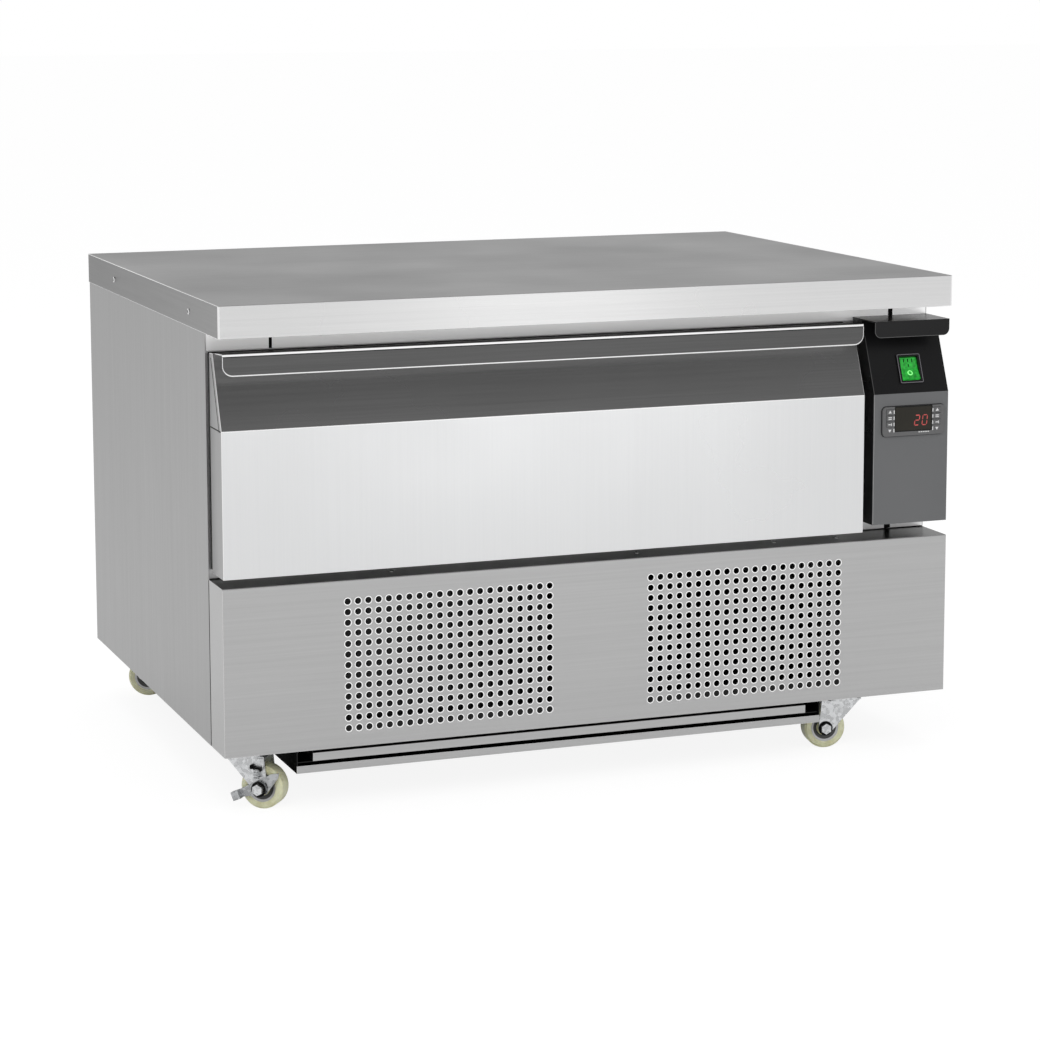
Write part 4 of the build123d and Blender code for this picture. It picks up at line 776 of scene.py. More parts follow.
@dataclass
class DrawerFront:
    """Folded drawer front: bright upright face, slanted recess darkened with painted shade, and turned-down pull
    lip.
    """

    recess: Recess = Recess()
    top_fall: float = 0.0035
    fold_line: float = 0.0006
    sheet: float = 0.0012
    lip_height: float = 0.025
    lip_inset: float = 0.0025
    lip_corner: float = 0.012
    lip_sheet: float = 0.0012
    lip_seam: float = 0.0008
    flange: float = 0.003
    flange_sheet: float = 0.0015
    hem: float = 0.0016
    hem_side: float = 0.0007
    cap_seam: float = 0.0018
    cap_seam_depth: float = 0.0002
    cap_foot_seam: float = 0.0014
    cap_seam_inset: float = 0.0075
    body: str = "drawer"

    def build(self) -> None:
        """Makes the shell, the lip and the strips of painted shade in the seams, and dresses what lies behind
        them.
        """
        self.low, self.high = corners("drawer_front_skin")
        self._shell()
        self._lip()
        self._flange()
        self._hem()
        self._end_seams()
        dress("drawer_front_liner", "liner_steel", 0.0004)
        dress("drawer_front_core", "foam")
        dress("drawer_gasket", "rubber_and_painted_gap_shade", 0.0006)

    def _top(self, y: float) -> float:
        """Gives the height of the top, which falls a little to the back."""
        return self.high.z - self.top_fall * (y - self.low.y) / (self.high.y - self.low.y)

    def _slant_top(self) -> Point2:
        """Gives Y and Z where the slanted face meets the top."""
        pitch = self.top_fall / (self.high.y - self.low.y)
        depth = self.recess.depth(self.high.z) / (1.0 + self.recess.slope * pitch)
        return self.low.y + depth, self.high.z - pitch * depth

    def _shell(self) -> None:
        """Makes the folded shell, open at the back."""
        low, high, fold = self.low, self.high, self.recess.fold
        outline = [
            (high.y, low.z),
            (low.y, low.z),
            (low.y, fold - self.fold_line),
            (low.y + self.fold_line * self.recess.slope, fold + self.fold_line),
            self._slant_top(),
            (high.y, self._top(high.y)),
        ]
        blank = Blank()
        for i, finish in enumerate((0, 0, 3, 1, 4)):
            (y0, z0), (y1, z1) = outline[i], outline[i + 1]
            blank.face([(low.x, y0, z0), (high.x, y0, z0), (high.x, y1, z1), (low.x, y1, z1)], finish)
        for x in (low.x, high.x):
            blank.face([(x, y, z) for y, z in outline], 2)
        # the slanted face's finish is painted shade, the fold's a painted highlight and the top's painted shade
        finishes = ["front_steel", "slant_painted_shade", "side_steel", "fold_painted_highlight", "top_painted_shade"]
        shell = blank.piece("drawer_face", finishes)
        thicken(shell, self.sheet)
        # the rounded edges and the fold get the painted highlight
        soften(shell, 0.0011, 3, finish=3)
        smooth(shell)
        fit_out(shell, self.body, "stainless_sheet", "drawer_front_skin")

    def _lip_outline(self, side: float, bottom: float) -> list[Point2]:
        """Gives the lip's outline in X and Z from its top left to its top right corner.

        Args:
            side: how far the outline lies inside the lip's sides.
            bottom: how far it lies above the lip's bottom edge.

        Returns:
            The points, with two elliptical corners.
        """
        left, right = self.low.x + self.lip_inset, self.high.x - self.lip_inset
        foot = self.high.z - self.lip_height
        wide, tall = self.lip_corner - side, self.lip_corner - bottom
        turn = [(wide * u, tall * w) for u, w in arc((0.0, 0.0), 1.0, 180.0, 270.0, 8)]
        centre = foot + self.lip_corner
        points = [(left + side, self.high.z - self.flange)]
        points += [(left + self.lip_corner + u, centre + w) for u, w in turn]
        points += [(right - self.lip_corner - u, centre + w) for u, w in reversed(turn)]
        points.append((right - side, self.high.z - self.flange))
        return points

    def _lip(self) -> None:
        """Makes the thin lip that hangs in front of the recess, its back given a painted glow, with a black line
        of painted shade below its fold.
        """
        y = self.low.y
        blank = Blank()
        flap = upright(self._lip_outline(0.0, 0.0), y + 0.0003)
        blank.slab(flap, Vector((0.0, self.lip_sheet, 0.0)), 1)
        # the lip's back is painted light: it glows
        lip = blank.piece("pull_lip", ["lip_steel", "lip_back_painted_glow"], weld=False)
        soften(lip, 0.0002)
        fit_out(lip, self.body, "stainless_sheet")
        seam = Blank()
        top = self.high.z - self.flange
        left, right = self.low.x + self.lip_inset + 0.001, self.high.x - self.lip_inset - 0.001
        seam.box((left, y + 0.00022, top - self.lip_seam), (right, y + 0.0005, top - 0.0001))
        # the black line is painted shade under the fold
        fit_out(seam.piece("pull_lip_painted_shade", ["print_and_painted_shade_black"]), self.body, "stainless_sheet")

    def _flange(self) -> None:
        """Makes the folded flange that carries the lip, falling to the back with the top: a painted highlight on
        its front face, painted shade on its top.
        """
        left, right = self.low.x + self.lip_inset, self.high.x - self.lip_inset
        back, back_top = self._slant_top()
        front = self.low.y
        behind = front + self.flange_sheet
        profile = [
            (front, self.high.z - self.flange), (front, self.high.z), (back, back_top),
            (back, back_top - self.flange_sheet), (behind, self._top(behind) - self.flange_sheet),
            (behind, self.high.z - self.flange),
        ]
        blank = Blank()
        for i, finish in enumerate((0, 1, 1, 0, 0, 0)):
            (y0, z0), (y1, z1) = profile[i], profile[(i + 1) % len(profile)]
            blank.face([(left, y0, z0), (right, y0, z0), (right, y1, z1), (left, y1, z1)], finish)
        for x in (left, right):
            blank.face([(x, y, z) for y, z in profile])
        # the flange's front is a painted highlight and its top painted shade
        flange = blank.piece("pull_lip_flange", ["fold_painted_highlight", "top_painted_shade"])
        soften(flange, 0.0007, 3, finish=0)
        smooth(flange)
        fit_out(flange, self.body, "stainless_sheet")

    def _hem(self) -> None:
        """Makes the hem that follows the lip's edge, widest along the bottom; its brightness is a painted
        highlight.
        """
        outer = upright(self._lip_outline(0.0, 0.0), self.low.y)
        inner = upright(self._lip_outline(self.hem_side, self.hem), self.low.y)
        blank = Blank()
        blank.ribbon(outer, inner, 1)
        # painted highlight on the hem
        hem = blank.piece("pull_lip_hem", ["lip_steel", "fold_painted_highlight"])
        thicken(hem, 0.0015)
        soften(hem, 0.0006, 3, finish=1)
        smooth(hem)
        fit_out(hem, self.body, "stainless_sheet")

    def _end_seams(self) -> None:
        """Makes fine dark strips of painted shade in the seams round the end caps of the recess."""
        blank = Blank()
        fold, depth = self.recess.fold, self.cap_seam_depth
        half = self.cap_foot_seam / 2
        back, top = self._slant_top()
        rise = Vector((0.0, back - self.low.y, top - fold)).normalized()
        inwards = Vector((0.0, rise.z, -rise.y))
        foot = Vector((0.0, self.low.y, fold)) + rise * 0.0015 + inwards * self.cap_seam_inset
        head = Vector((0.0, back, top)) - rise * 0.0025 + inwards * self.cap_seam_inset
        for x in (self.low.x - 0.4 * depth, self.high.x - 0.6 * depth):
            blank.box(
                (x, self.low.y + self.sheet, fold - half), (x + depth, self.high.y - self.sheet, fold + half)
            )
            start = Vector((x, 0.0, 0.0))
            corner = inwards * self.cap_seam
            slanted = [start + foot, start + head, start + head + corner, start + foot + corner]
            blank.slab([tuple(point) for point in slanted], Vector((depth, 0.0, 0.0)))
        # the seams are painted shade
        seams = blank.piece("end_cap_painted_shade", ["rubber_and_painted_gap_shade"])
        fit_out(seams, self.body, "stainless_sheet")


@dataclass
class DrawerInside:
    """Drawer box and the telescopic slides that carry it."""

    edge: float = 0.0004

    def build(self) -> None:
        """Dresses the box and the slide members."""
        dress("drawer_box", "liner_steel", self.edge)
        for node in ("slide_inner_members", "slide_outer_members", "slide_middle_left", "slide_middle_right"):
            dress(node, "slide_zinc", self.edge)


@dataclass
class LowerPanel:
    """Folded front panel of the base with two fields of round holes."""

    sheet: float = 0.0012
    pitch: float = 0.0121
    hole: float = 0.0073
    columns: int = 21
    rows: int = 13
    field_centre: float = 0.184
    top_row: float = 0.2348
    hole_facets: int = 20
    rim: float = 0.0009
    bottom_fold: float = 0.012
    fold_line: float = 0.0008

    def build(self) -> None:
        """Makes the perforated panel."""
        low, high = corners("lower_front_panel")
        blank = Blank()
        mesh = blank.mesh
        face_top = high.z - self.fold_line
        frame_loop = [
            mesh.verts.new((x, low.y, z))
            for x, z in ((low.x, low.z), (high.x, low.z), (high.x, face_top), (low.x, face_top))
        ]
        edges = [mesh.edges.new((frame_loop[i], frame_loop[(i + 1) % 4])) for i in range(4)]
        for centre in (-self.field_centre, self.field_centre):
            for row in range(self.rows):
                for column in range(self.columns):
                    x = centre + (column - (self.columns - 1) / 2) * self.pitch
                    edges += self._hole_edges(mesh, (x, low.y, self.top_row - row * self.pitch))
        rims = list(mesh.faces)
        bmesh.ops.triangle_fill(mesh, use_beauty=True, use_dissolve=False, edges=edges)
        # the rings round the holes are painted highlight
        for rim in rims:
            rim.material_index = 3
        self._returns(mesh, frame_loop, low, high)
        # the panel's face is a darker copy of the steel: painted shade
        panel = blank.piece("perforated_panel", ["panel_painted_shade", "fold_painted_highlight", "flange_painted_shade", "hole_rim_painted_glow"])
        thicken(panel, self.sheet)
        # the rounded edges get the painted highlight
        soften(panel, 0.00055, 2, 60.0, finish=1)
        fit_out(panel, "cabinet", "stainless_sheet", "lower_front_panel")

    def _hole_edges(self, mesh: bmesh.types.BMesh, centre: Point3) -> list[bmesh.types.BMEdge]:
        """Adds the rim of one hole, a flat ring of painted highlight, and gives the edges round it."""
        rings = []
        for radius in (self.hole / 2, self.hole / 2 + self.rim):
            ring = []
            for i in range(self.hole_facets):
                angle = 2.0 * math.pi * i / self.hole_facets
                x = centre[0] + radius * math.cos(angle)
                z = centre[2] + radius * math.sin(angle)
                ring.append(mesh.verts.new((x, centre[1], z)))
            rings.append(ring)
        inner, outer = rings
        edges = []
        for i in range(self.hole_facets):
            j = (i + 1) % self.hole_facets
            mesh.faces.new([inner[i], inner[j], outer[j], outer[i]])
            edges.append(mesh.edges.get((outer[i], outer[j])))
        return edges

    def _returns(self, mesh: bmesh.types.BMesh, loop: list, low: Vector, high: Vector) -> None:
        """Adds the side returns, the top flange and the bottom fold."""
        bottom_left, bottom_right, top_right, top_left = loop
        back = {}
        for key, x, z in (
            ("bottom_left", low.x, low.z), ("bottom_right", high.x, low.z),
            ("top_right", high.x, high.z), ("top_left", low.x, high.z),
        ):
            back[key] = mesh.verts.new((x, high.y, z))
        crest_left = mesh.verts.new((low.x, low.y + self.fold_line, high.z))
        crest_right = mesh.verts.new((high.x, low.y + self.fold_line, high.z))
        # the fold's face is painted highlight
        mesh.faces.new([top_left, top_right, crest_right, crest_left]).material_index = 1
        # the top flange gets painted shade
        mesh.faces.new([crest_left, crest_right, back["top_right"], back["top_left"]]).material_index = 2
        mesh.faces.new([bottom_left, top_left, crest_left, back["top_left"], back["bottom_left"]])
        mesh.faces.new([crest_right, top_right, bottom_right, back["bottom_right"], back["top_right"]])
        fold = low.y + self.bottom_fold
        left = mesh.verts.new((low.x + 0.0015, fold, low.z))
        right = mesh.verts.new((high.x - 0.0015, fold, low.z))
        mesh.faces.new([bottom_right, bottom_left, left, right])


@dataclass
class Screws:
    """Pan head screws with a cross recess."""

    radius: float = 0.0036
    rise: float = 0.0016
    crown: float = 0.0015
    cross: float = 0.0036
    cross_width: float = 0.0008
    worktop_drop: float = 0.019
    worktop_depths: Point2 = (0.127, 0.5)
    flange_spots: tuple[float, ...] = (-0.244, 0.057, 0.234, 0.316)
    flange_depth: float = 0.033
    sites: list[tuple[Point3, Point3]] = field(default_factory=list)

    def build(self) -> None:
        """Makes a head on each place of the screw node."""
        low, high = corners("panel_screws")
        worktop_low, worktop_high = corners("worktop_skin")
        level = worktop_high.z - self.worktop_drop
        for side, x in ((-1.0, low.x + self.rise), (1.0, high.x - self.rise)):
            for depth in self.worktop_depths:
                self.sites.append(((x, worktop_low.y + depth, level), (side, 0.0, 0.0)))
        top = corners("lower_front_panel")[1].z
        for x in self.flange_spots:
            self.sites.append(((x, worktop_low.y + self.flange_depth, top), (0.0, 0.0, 1.0)))
        blank = Blank()
        crosses = Blank()
        for place, way in self.sites:
            stand = Matrix.Translation(place) @ Vector(way).to_track_quat("Z", "Y").to_matrix().to_4x4()
            dome = [(0.0, 0.0), (self.radius, 0.0), (self.radius, self.crown * 0.45)]
            dome += [(self.radius * 0.8, self.crown * 0.85), (self.radius * 0.45, self.crown), (0.0, self.crown)]
            blank.turned(dome, stand, 24)
            for turn in (45.0, 135.0):
                self._slot(crosses, stand @ Matrix.Rotation(math.radians(turn), 4, "Z"))
        heads = blank.piece("screw_heads", ["screw_zinc"])
        smooth(heads)
        fit_out(heads, "cabinet", "screw_steel", "panel_screws")
        # the cross recesses are painted shade
        lay_on(crosses, "screw_recess_painted_shade", "print_and_painted_shade_black", "cabinet", "screw_steel", weld=False)

    def _slot(self, blank: Blank, stand: Matrix) -> None:
        """Adds one bar of the cross, a hair above the head: the recess's shade painted black."""
        half, wide = self.cross / 2, self.cross_width / 2
        height = self.crown + 0.00002
        spots = ((-half, -wide), (half, -wide), (half, wide), (-half, wide))
        blank.face([tuple(stand @ Vector((x, y, height))) for x, y in spots])


@dataclass
class ControlPanel:
    """Black control moulding with a grey plate over its upright part."""

    edge: float = 0.0009
    recess: Recess = Recess()
    lip_height: float = 0.0195
    lip_corner: float = 0.008
    line: float = 0.0006

    def build(self) -> None:
        """Dresses the moulding and the plate."""
        dress("control_housing", "black_moulding", self.edge)
        dress("control_front_plate", "grey_paint", 0.0004)
        self._painted_edge_highlights()

    def _painted_edge_highlights(self) -> None:
        """Makes painted highlights: a fine light line on the moulding's lip and its left slanted edge, and one
        down the plate's left edge.
        """
        low, high = corners("control_housing")
        y = low.y - 0.00012
        left, right, foot = low.x, high.x, high.z - self.lip_height
        radius, wide = self.lip_corner, self.line
        turn = (left + radius, foot + radius)
        outer = [(left, high.z - 0.001), *arc(turn, radius, 180.0, 270.0, 8), (right - radius, foot)]
        inner = [(left + wide, high.z - 0.001), *arc(turn, radius - wide, 180.0, 270.0, 8)]
        inner.append((right - radius, foot + wide))
        blank = Blank()
        blank.ribbon(upright(outer, y), upright(inner, y))
        slant = self.recess.depth(foot)
        spots = ((left, y, self.recess.fold), (left + wide, y, self.recess.fold))
        blank.face([*spots, (left + wide, y + slant, foot), (left, y + slant, foot)])
        lay_on(blank, "moulding_edge_painted_highlight", "moulding_painted_highlight", "cabinet", "black_moulding", 0.0001)
        plate_low, plate_high = corners("control_front_plate")
        edge = Blank()
        edge.box(
            (plate_low.x + 0.0002, plate_low.y - 0.00008, plate_low.z + 0.0006),
            (plate_low.x + 0.0002 + wide, plate_low.y + 0.0001, plate_high.z - 0.0006),
        )
        fit_out(edge.piece("plate_edge_painted_highlight", ["plate_painted_highlight"]), "cabinet", "grey_plate")


@dataclass
class RockerSwitch:
    """Lit rocker switch on the slanted face of the control moulding."""

    centre_x: float = 0.4017
    centre_z: float = 0.4615
    recess: Recess = Recess()
    tilt: float = 7.0
    pivot_depth: float = 0.004
    crown: float = 0.0046
    valley: float = 0.0022
    shoulder: float = 0.01363
    stroke: float = 0.0013
    strokes: tuple[Point3, ...] = (
        (-0.0055, 0.0079, 0.0122), (0.0, 0.0079, 0.0122), (0.0055, 0.0079, 0.0122), (0.0, 0.0025, 0.0058),
    )
    ring_centre: Point2 = (0.0, -0.0055)
    ring_radii: Point2 = (0.0034, 0.0021)
    bezel_width: float = 0.031
    bezel_height: float = 0.036
    bezel_corner: float = 0.002
    bezel_rise: float = 0.00208
    bezel_margin: float = 0.0003
    # width of the painted highlight on the bezel's edge
    bezel_painted_highlight: float = 0.0008

    def build(self) -> None:
        """Dresses the bezel and the rocker, and adds the marks on the rocker's face."""
        dress("switch_bezel", "black_moulding", 0.0005)
        dress("switch_rocker", "rocker_green", 0.0005)
        self._place_face()
        self._bezel_highlight()
        strokes = Blank()
        for x, bottom, top in self.strokes:
            strokes.face([self._spot(x + u, w) for u, w in self._bar(bottom, top)])
        lay_on(strokes, "rocker_strokes", "print_and_painted_shade_black", "rocker", "rocker_green")
        ring = Blank()
        ring.ribbon(*(
            [self._spot(u, w) for u, w in arc(self.ring_centre, radius, 0.0, 360.0, 24)]
            for radius in self.ring_radii
        ))
        lay_on(ring, "rocker_ring", "rocker_mark", "rocker", "rocker_green")

    def _bezel_highlight(self) -> None:
        """Makes a painted highlight: a fine light line on the bezel's edge."""
        wide, tall = self.bezel_width / 2, self.bezel_height / 2
        loops = []
        for inset in (self.bezel_margin, self.bezel_margin + self.bezel_painted_highlight):
            loop = rounded((-wide, -tall), (wide, tall), self.bezel_corner, -inset)
            loops.append([
                tuple(self.origin + Vector((u, 0.0, 0.0)) + self.up * w + self.out * self.bezel_rise)
                for u, w in loop
            ])
        blank = Blank()
        blank.ribbon(*loops, closed=True)
        lay_on(blank, "bezel_edge_painted_highlight", "bezel_painted_highlight", "cabinet", "black_moulding")

    def _bar(self, low: float, high: float) -> list[Point2]:
        """Gives the outline of one upright stroke between two heights on the rocker."""
        half = self.stroke / 2
        return [(-half, low), (half, low), (half, high), (-half, high)]

    def _place_face(self) -> None:
        """Works out the frame of the slanted face under the switch."""
        lean = math.atan(self.recess.slope)
        self.up = Vector((0.0, math.sin(lean), math.cos(lean)))
        self.out = Vector((0.0, -math.cos(lean), math.sin(lean)))
        face = corners("drawer_front_skin")[0].y
        self.origin = Vector((self.centre_x, face + self.recess.depth(self.centre_z), self.centre_z))

    def _spot(self, across: float, height: float) -> Point3:
        """Gives a point a hair above the rocker's V-shaped face.

        Args:
            across: distance to the right of its middle.
            height: distance up the face from its valley.

        Returns:
            The point in the row frame.
        """
        rise = self.crown - self.valley * (1.0 - abs(height) / self.shoulder) + 0.00008
        turn = math.radians(-self.tilt)
        along = height * math.cos(turn) - rise * math.sin(turn)
        proud = height * math.sin(turn) + rise * math.cos(turn) - self.pivot_depth
        return tuple(self.origin + Vector((across, 0.0, 0.0)) + self.up * along + self.out * proud)


@dataclass
class Controller:
    """Temperature controller: bezel, window with a red reading, keys and printed marks."""

    digit_height: float = 0.013
    digit_width: float = 0.0072
    digit_gap: float = 0.003
    digit_stroke: float = 0.0012
    digit_slant: float = 0.12
    reading: str = "20"
    digit_drop: float = 0.0024
    digit_inset: float = 0.0062
    mark: float = 0.0011
    key_pitch: float = 0.0074
    letter_inset: float = 0.0056
    letter: Point2 = (0.0007, 0.0021)
    lamp_pitch: float = 0.003
    lamp: Point2 = (0.001, 0.0006)
    outline: float = 0.0008
    corner: float = 0.005

    SEGMENTS = {"2": "abged", "0": "abcdef"}

    def build(self) -> None:
        """Dresses the controller and adds what its window and bezel show."""
        dress("controller_housing", "controller_moulding", 0.0005)
        dress("display_window", "display_window")
        for side in ("left", "right"):
            for row in (1, 2, 3):
                dress(f"key_{side}_{row}", "controller_moulding", 0.0004)
        self._reading()
        self._outlines()
        self._marks()

    def _reading(self) -> None:
        """Makes the reading of seven-segment digits, at the right of the window."""
        low, high = corners("display_window")
        blank = Blank()
        y = low.y - 0.00008
        right = high.x - self.digit_inset
        foot = (low.z + high.z) / 2 - self.digit_height / 2 - self.digit_drop
        for place, digit in enumerate(reversed(self.reading)):
            left = right - self.digit_width - place * (self.digit_width + self.digit_gap)
            for segment in self.SEGMENTS[digit]:
                outline = self._segment(segment)
                blank.face([(left + u + self.digit_slant * w, y, foot + w) for u, w in outline])
        lay_on(blank, "window_reading", "digit_red", "cabinet", "display_glass", weld=False)

    def _segment(self, segment: str) -> list[Point2]:
        """Gives the outline of one segment, from the digit's lower left corner."""
        wide, tall, stroke = self.digit_width, self.digit_height, self.digit_stroke
        gap = stroke * 0.35
        half = stroke / 2
        levels = {"a": tall - half, "g": tall / 2, "d": half}
        if segment in levels:
            z = levels[segment]
            return [
                (half + gap, z), (stroke + gap, z + half), (wide - stroke - gap, z + half),
                (wide - half - gap, z), (wide - stroke - gap, z - half), (stroke + gap, z - half),
            ]
        x = wide - half if segment in "bc" else half
        low, high = (tall / 2, tall - half) if segment in "bf" else (half, tall / 2)
        return [
            (x, low + gap), (x + half, low + gap + half), (x + half, high - gap - half),
            (x, high - gap), (x - half, high - gap - half), (x - half, low + gap + half),
        ]

    def _ring(self, blank: Blank, low: Vector, high: Vector, y: float, radius: float) -> None:
        """Adds a thin flat ring round a rectangle with rounded corners."""
        outer, inner = (
            upright(rounded(low.xz, high.xz, radius, grow, 4), y) for grow in (self.outline, 0.0)
        )
        blank.ribbon(outer, inner, closed=True)

    def _outlines(self) -> None:
        """Makes the dark shadow lines round the window and round the bezel."""
        blank = Blank()
        low, high = corners("controller_housing")
        window_low, window_high = corners("display_window")
        plate = corners("control_front_plate")[0].y
        self._ring(blank, window_low, window_high, low.y - 0.00006, 0.0006)
        self._ring(blank, low, high, plate - 0.00006, self.corner)
        lay_on(blank, "controller_outlines", "print_and_painted_shade_black", "cabinet", "black_moulding", 0.00008)

    def _marks(self) -> None:
        """Makes the white printed signs on the keys and beside them."""
        low, _ = corners("controller_housing")
        window_low, window_high = corners("display_window")
        y = low.y - 0.00006
        printed = Blank()
        for side, way in (("left", -1.0), ("right", 1.0)):
            for row in (1, 2, 3):
                key_low, key_high = corners(f"key_{side}_{row}")
                centre = (key_low + key_high) / 2
                keyed = Blank()
                self._sign(keyed, centre, key_low.y - 0.00006, row)
                lay_on(keyed, f"key_sign_{side}_{row}", "mark_white", f"key_{side}_{row}", "key_plastic")
                self._dash(printed, centre.x - way * self.letter_inset, centre.z, y, *self.letter)
            last = Vector((centre.x, 0.0, centre.z - self.key_pitch))
            self._sign(printed, last, y, 4)
            self._dash(printed, last.x - way * self.letter_inset, last.z, y, *self.letter)
        right, foot = window_high.x - 0.0045, window_low.z - 0.0022
        for i in range(5):
            self._dash(printed, right - i * self.lamp_pitch, foot, y, *self.lamp)
        lay_on(printed, "printed_marks", "mark_white", "cabinet", "key_plastic")

    def _dash(self, blank: Blank, x: float, z: float, y: float, half_x: float, half_z: float) -> None:
        """Adds one upright or flat dash."""
        blank.face([
            (x - half_x, y, z - half_z), (x + half_x, y, z - half_z),
            (x + half_x, y, z + half_z), (x - half_x, y, z + half_z),
        ])

    def _sign(self, blank: Blank, centre: Vector, y: float, row: int) -> None:
        """Adds one generic sign: an arrow up, two bars, a dash with a dot or an arrow down."""
        size = self.mark * 2.0
        if row == 2:
            for z in (centre.z - size * 0.45, centre.z + size * 0.45):
                self._dash(blank, centre.x, z, y, size, size * 0.25)
            return
        if row == 3:
            self._dash(blank, centre.x - size * 0.3, centre.z, y, size * 0.7, size * 0.25)
            self._dash(blank, centre.x + size * 0.8, centre.z, y, size * 0.25, size * 0.7)
            return
        tip = size if row == 1 else -size
        blank.face([
            (centre.x - size, y, centre.z - tip * 0.6),
            (centre.x + size, y, centre.z - tip * 0.6),
            (centre.x, y, centre.z + tip),
        ])


@dataclass
class MachineSpace:
    """Condensing unit in the base, evaporator beside the drawer, and their pipes."""

    FINISHES = {
        "condenser_coil": "condenser_black_and_shade", "condenser_shroud": "back_sheet",
        "condenser_fan_motor": "compressor_black", "condenser_fan_blade": "fan_plastic",
        "compressor_feet": "rubber_and_painted_gap_shade", "filter_drier": "copper", "copper_pipes": "copper",
        "suction_line": "rubber_and_painted_gap_shade", "evaporator_cover": "liner_steel", "evaporator_coil": "coil_aluminium",
        "evaporator_fan_motor": "compressor_black", "evaporator_fan_blade": "fan_plastic",
    }

    edge: float = 0.001

    def build(self) -> None:
        """Dresses the pieces of the cooling circuit."""
        for node, finish in self.FINISHES.items():
            dress(node, finish)
        dress("compressor", "compressor_black", self.edge)
        dress("electrical_box", "back_sheet", self.edge)


@dataclass
class DripTray:
    """Drip tray and its carrier under the base."""

    edge: float = 0.0005
    lip: float = 0.0087
    flange: float = 0.01

    def build(self) -> None:
        """Dresses the tray and the carrier, the carrier in a darkened copy of the steel as painted shade, and
        lays a lighter face of painted light on the carrier's front lip.
        """
        dress("drip_tray", "panel_painted_shade", self.edge)
        dress("tray_carrier", "base_painted_shade", self.edge)
        low, high = corners("tray_carrier")
        blank = Blank()
        left, right = low.x + self.flange, high.x - self.flange
        blank.box((left, low.y - 0.0003, low.z), (right, low.y + 0.0002, low.z + self.lip))
        # the lip's face is painted light over the darkened carrier
        face = blank.piece("carrier_lip_painted_light", ["panel_painted_shade", "fold_painted_highlight"])
        # the rounded edges get the painted highlight
        soften(face, 0.00024, 2, finish=1)
        fit_out(face, "cabinet", "stainless_sheet")


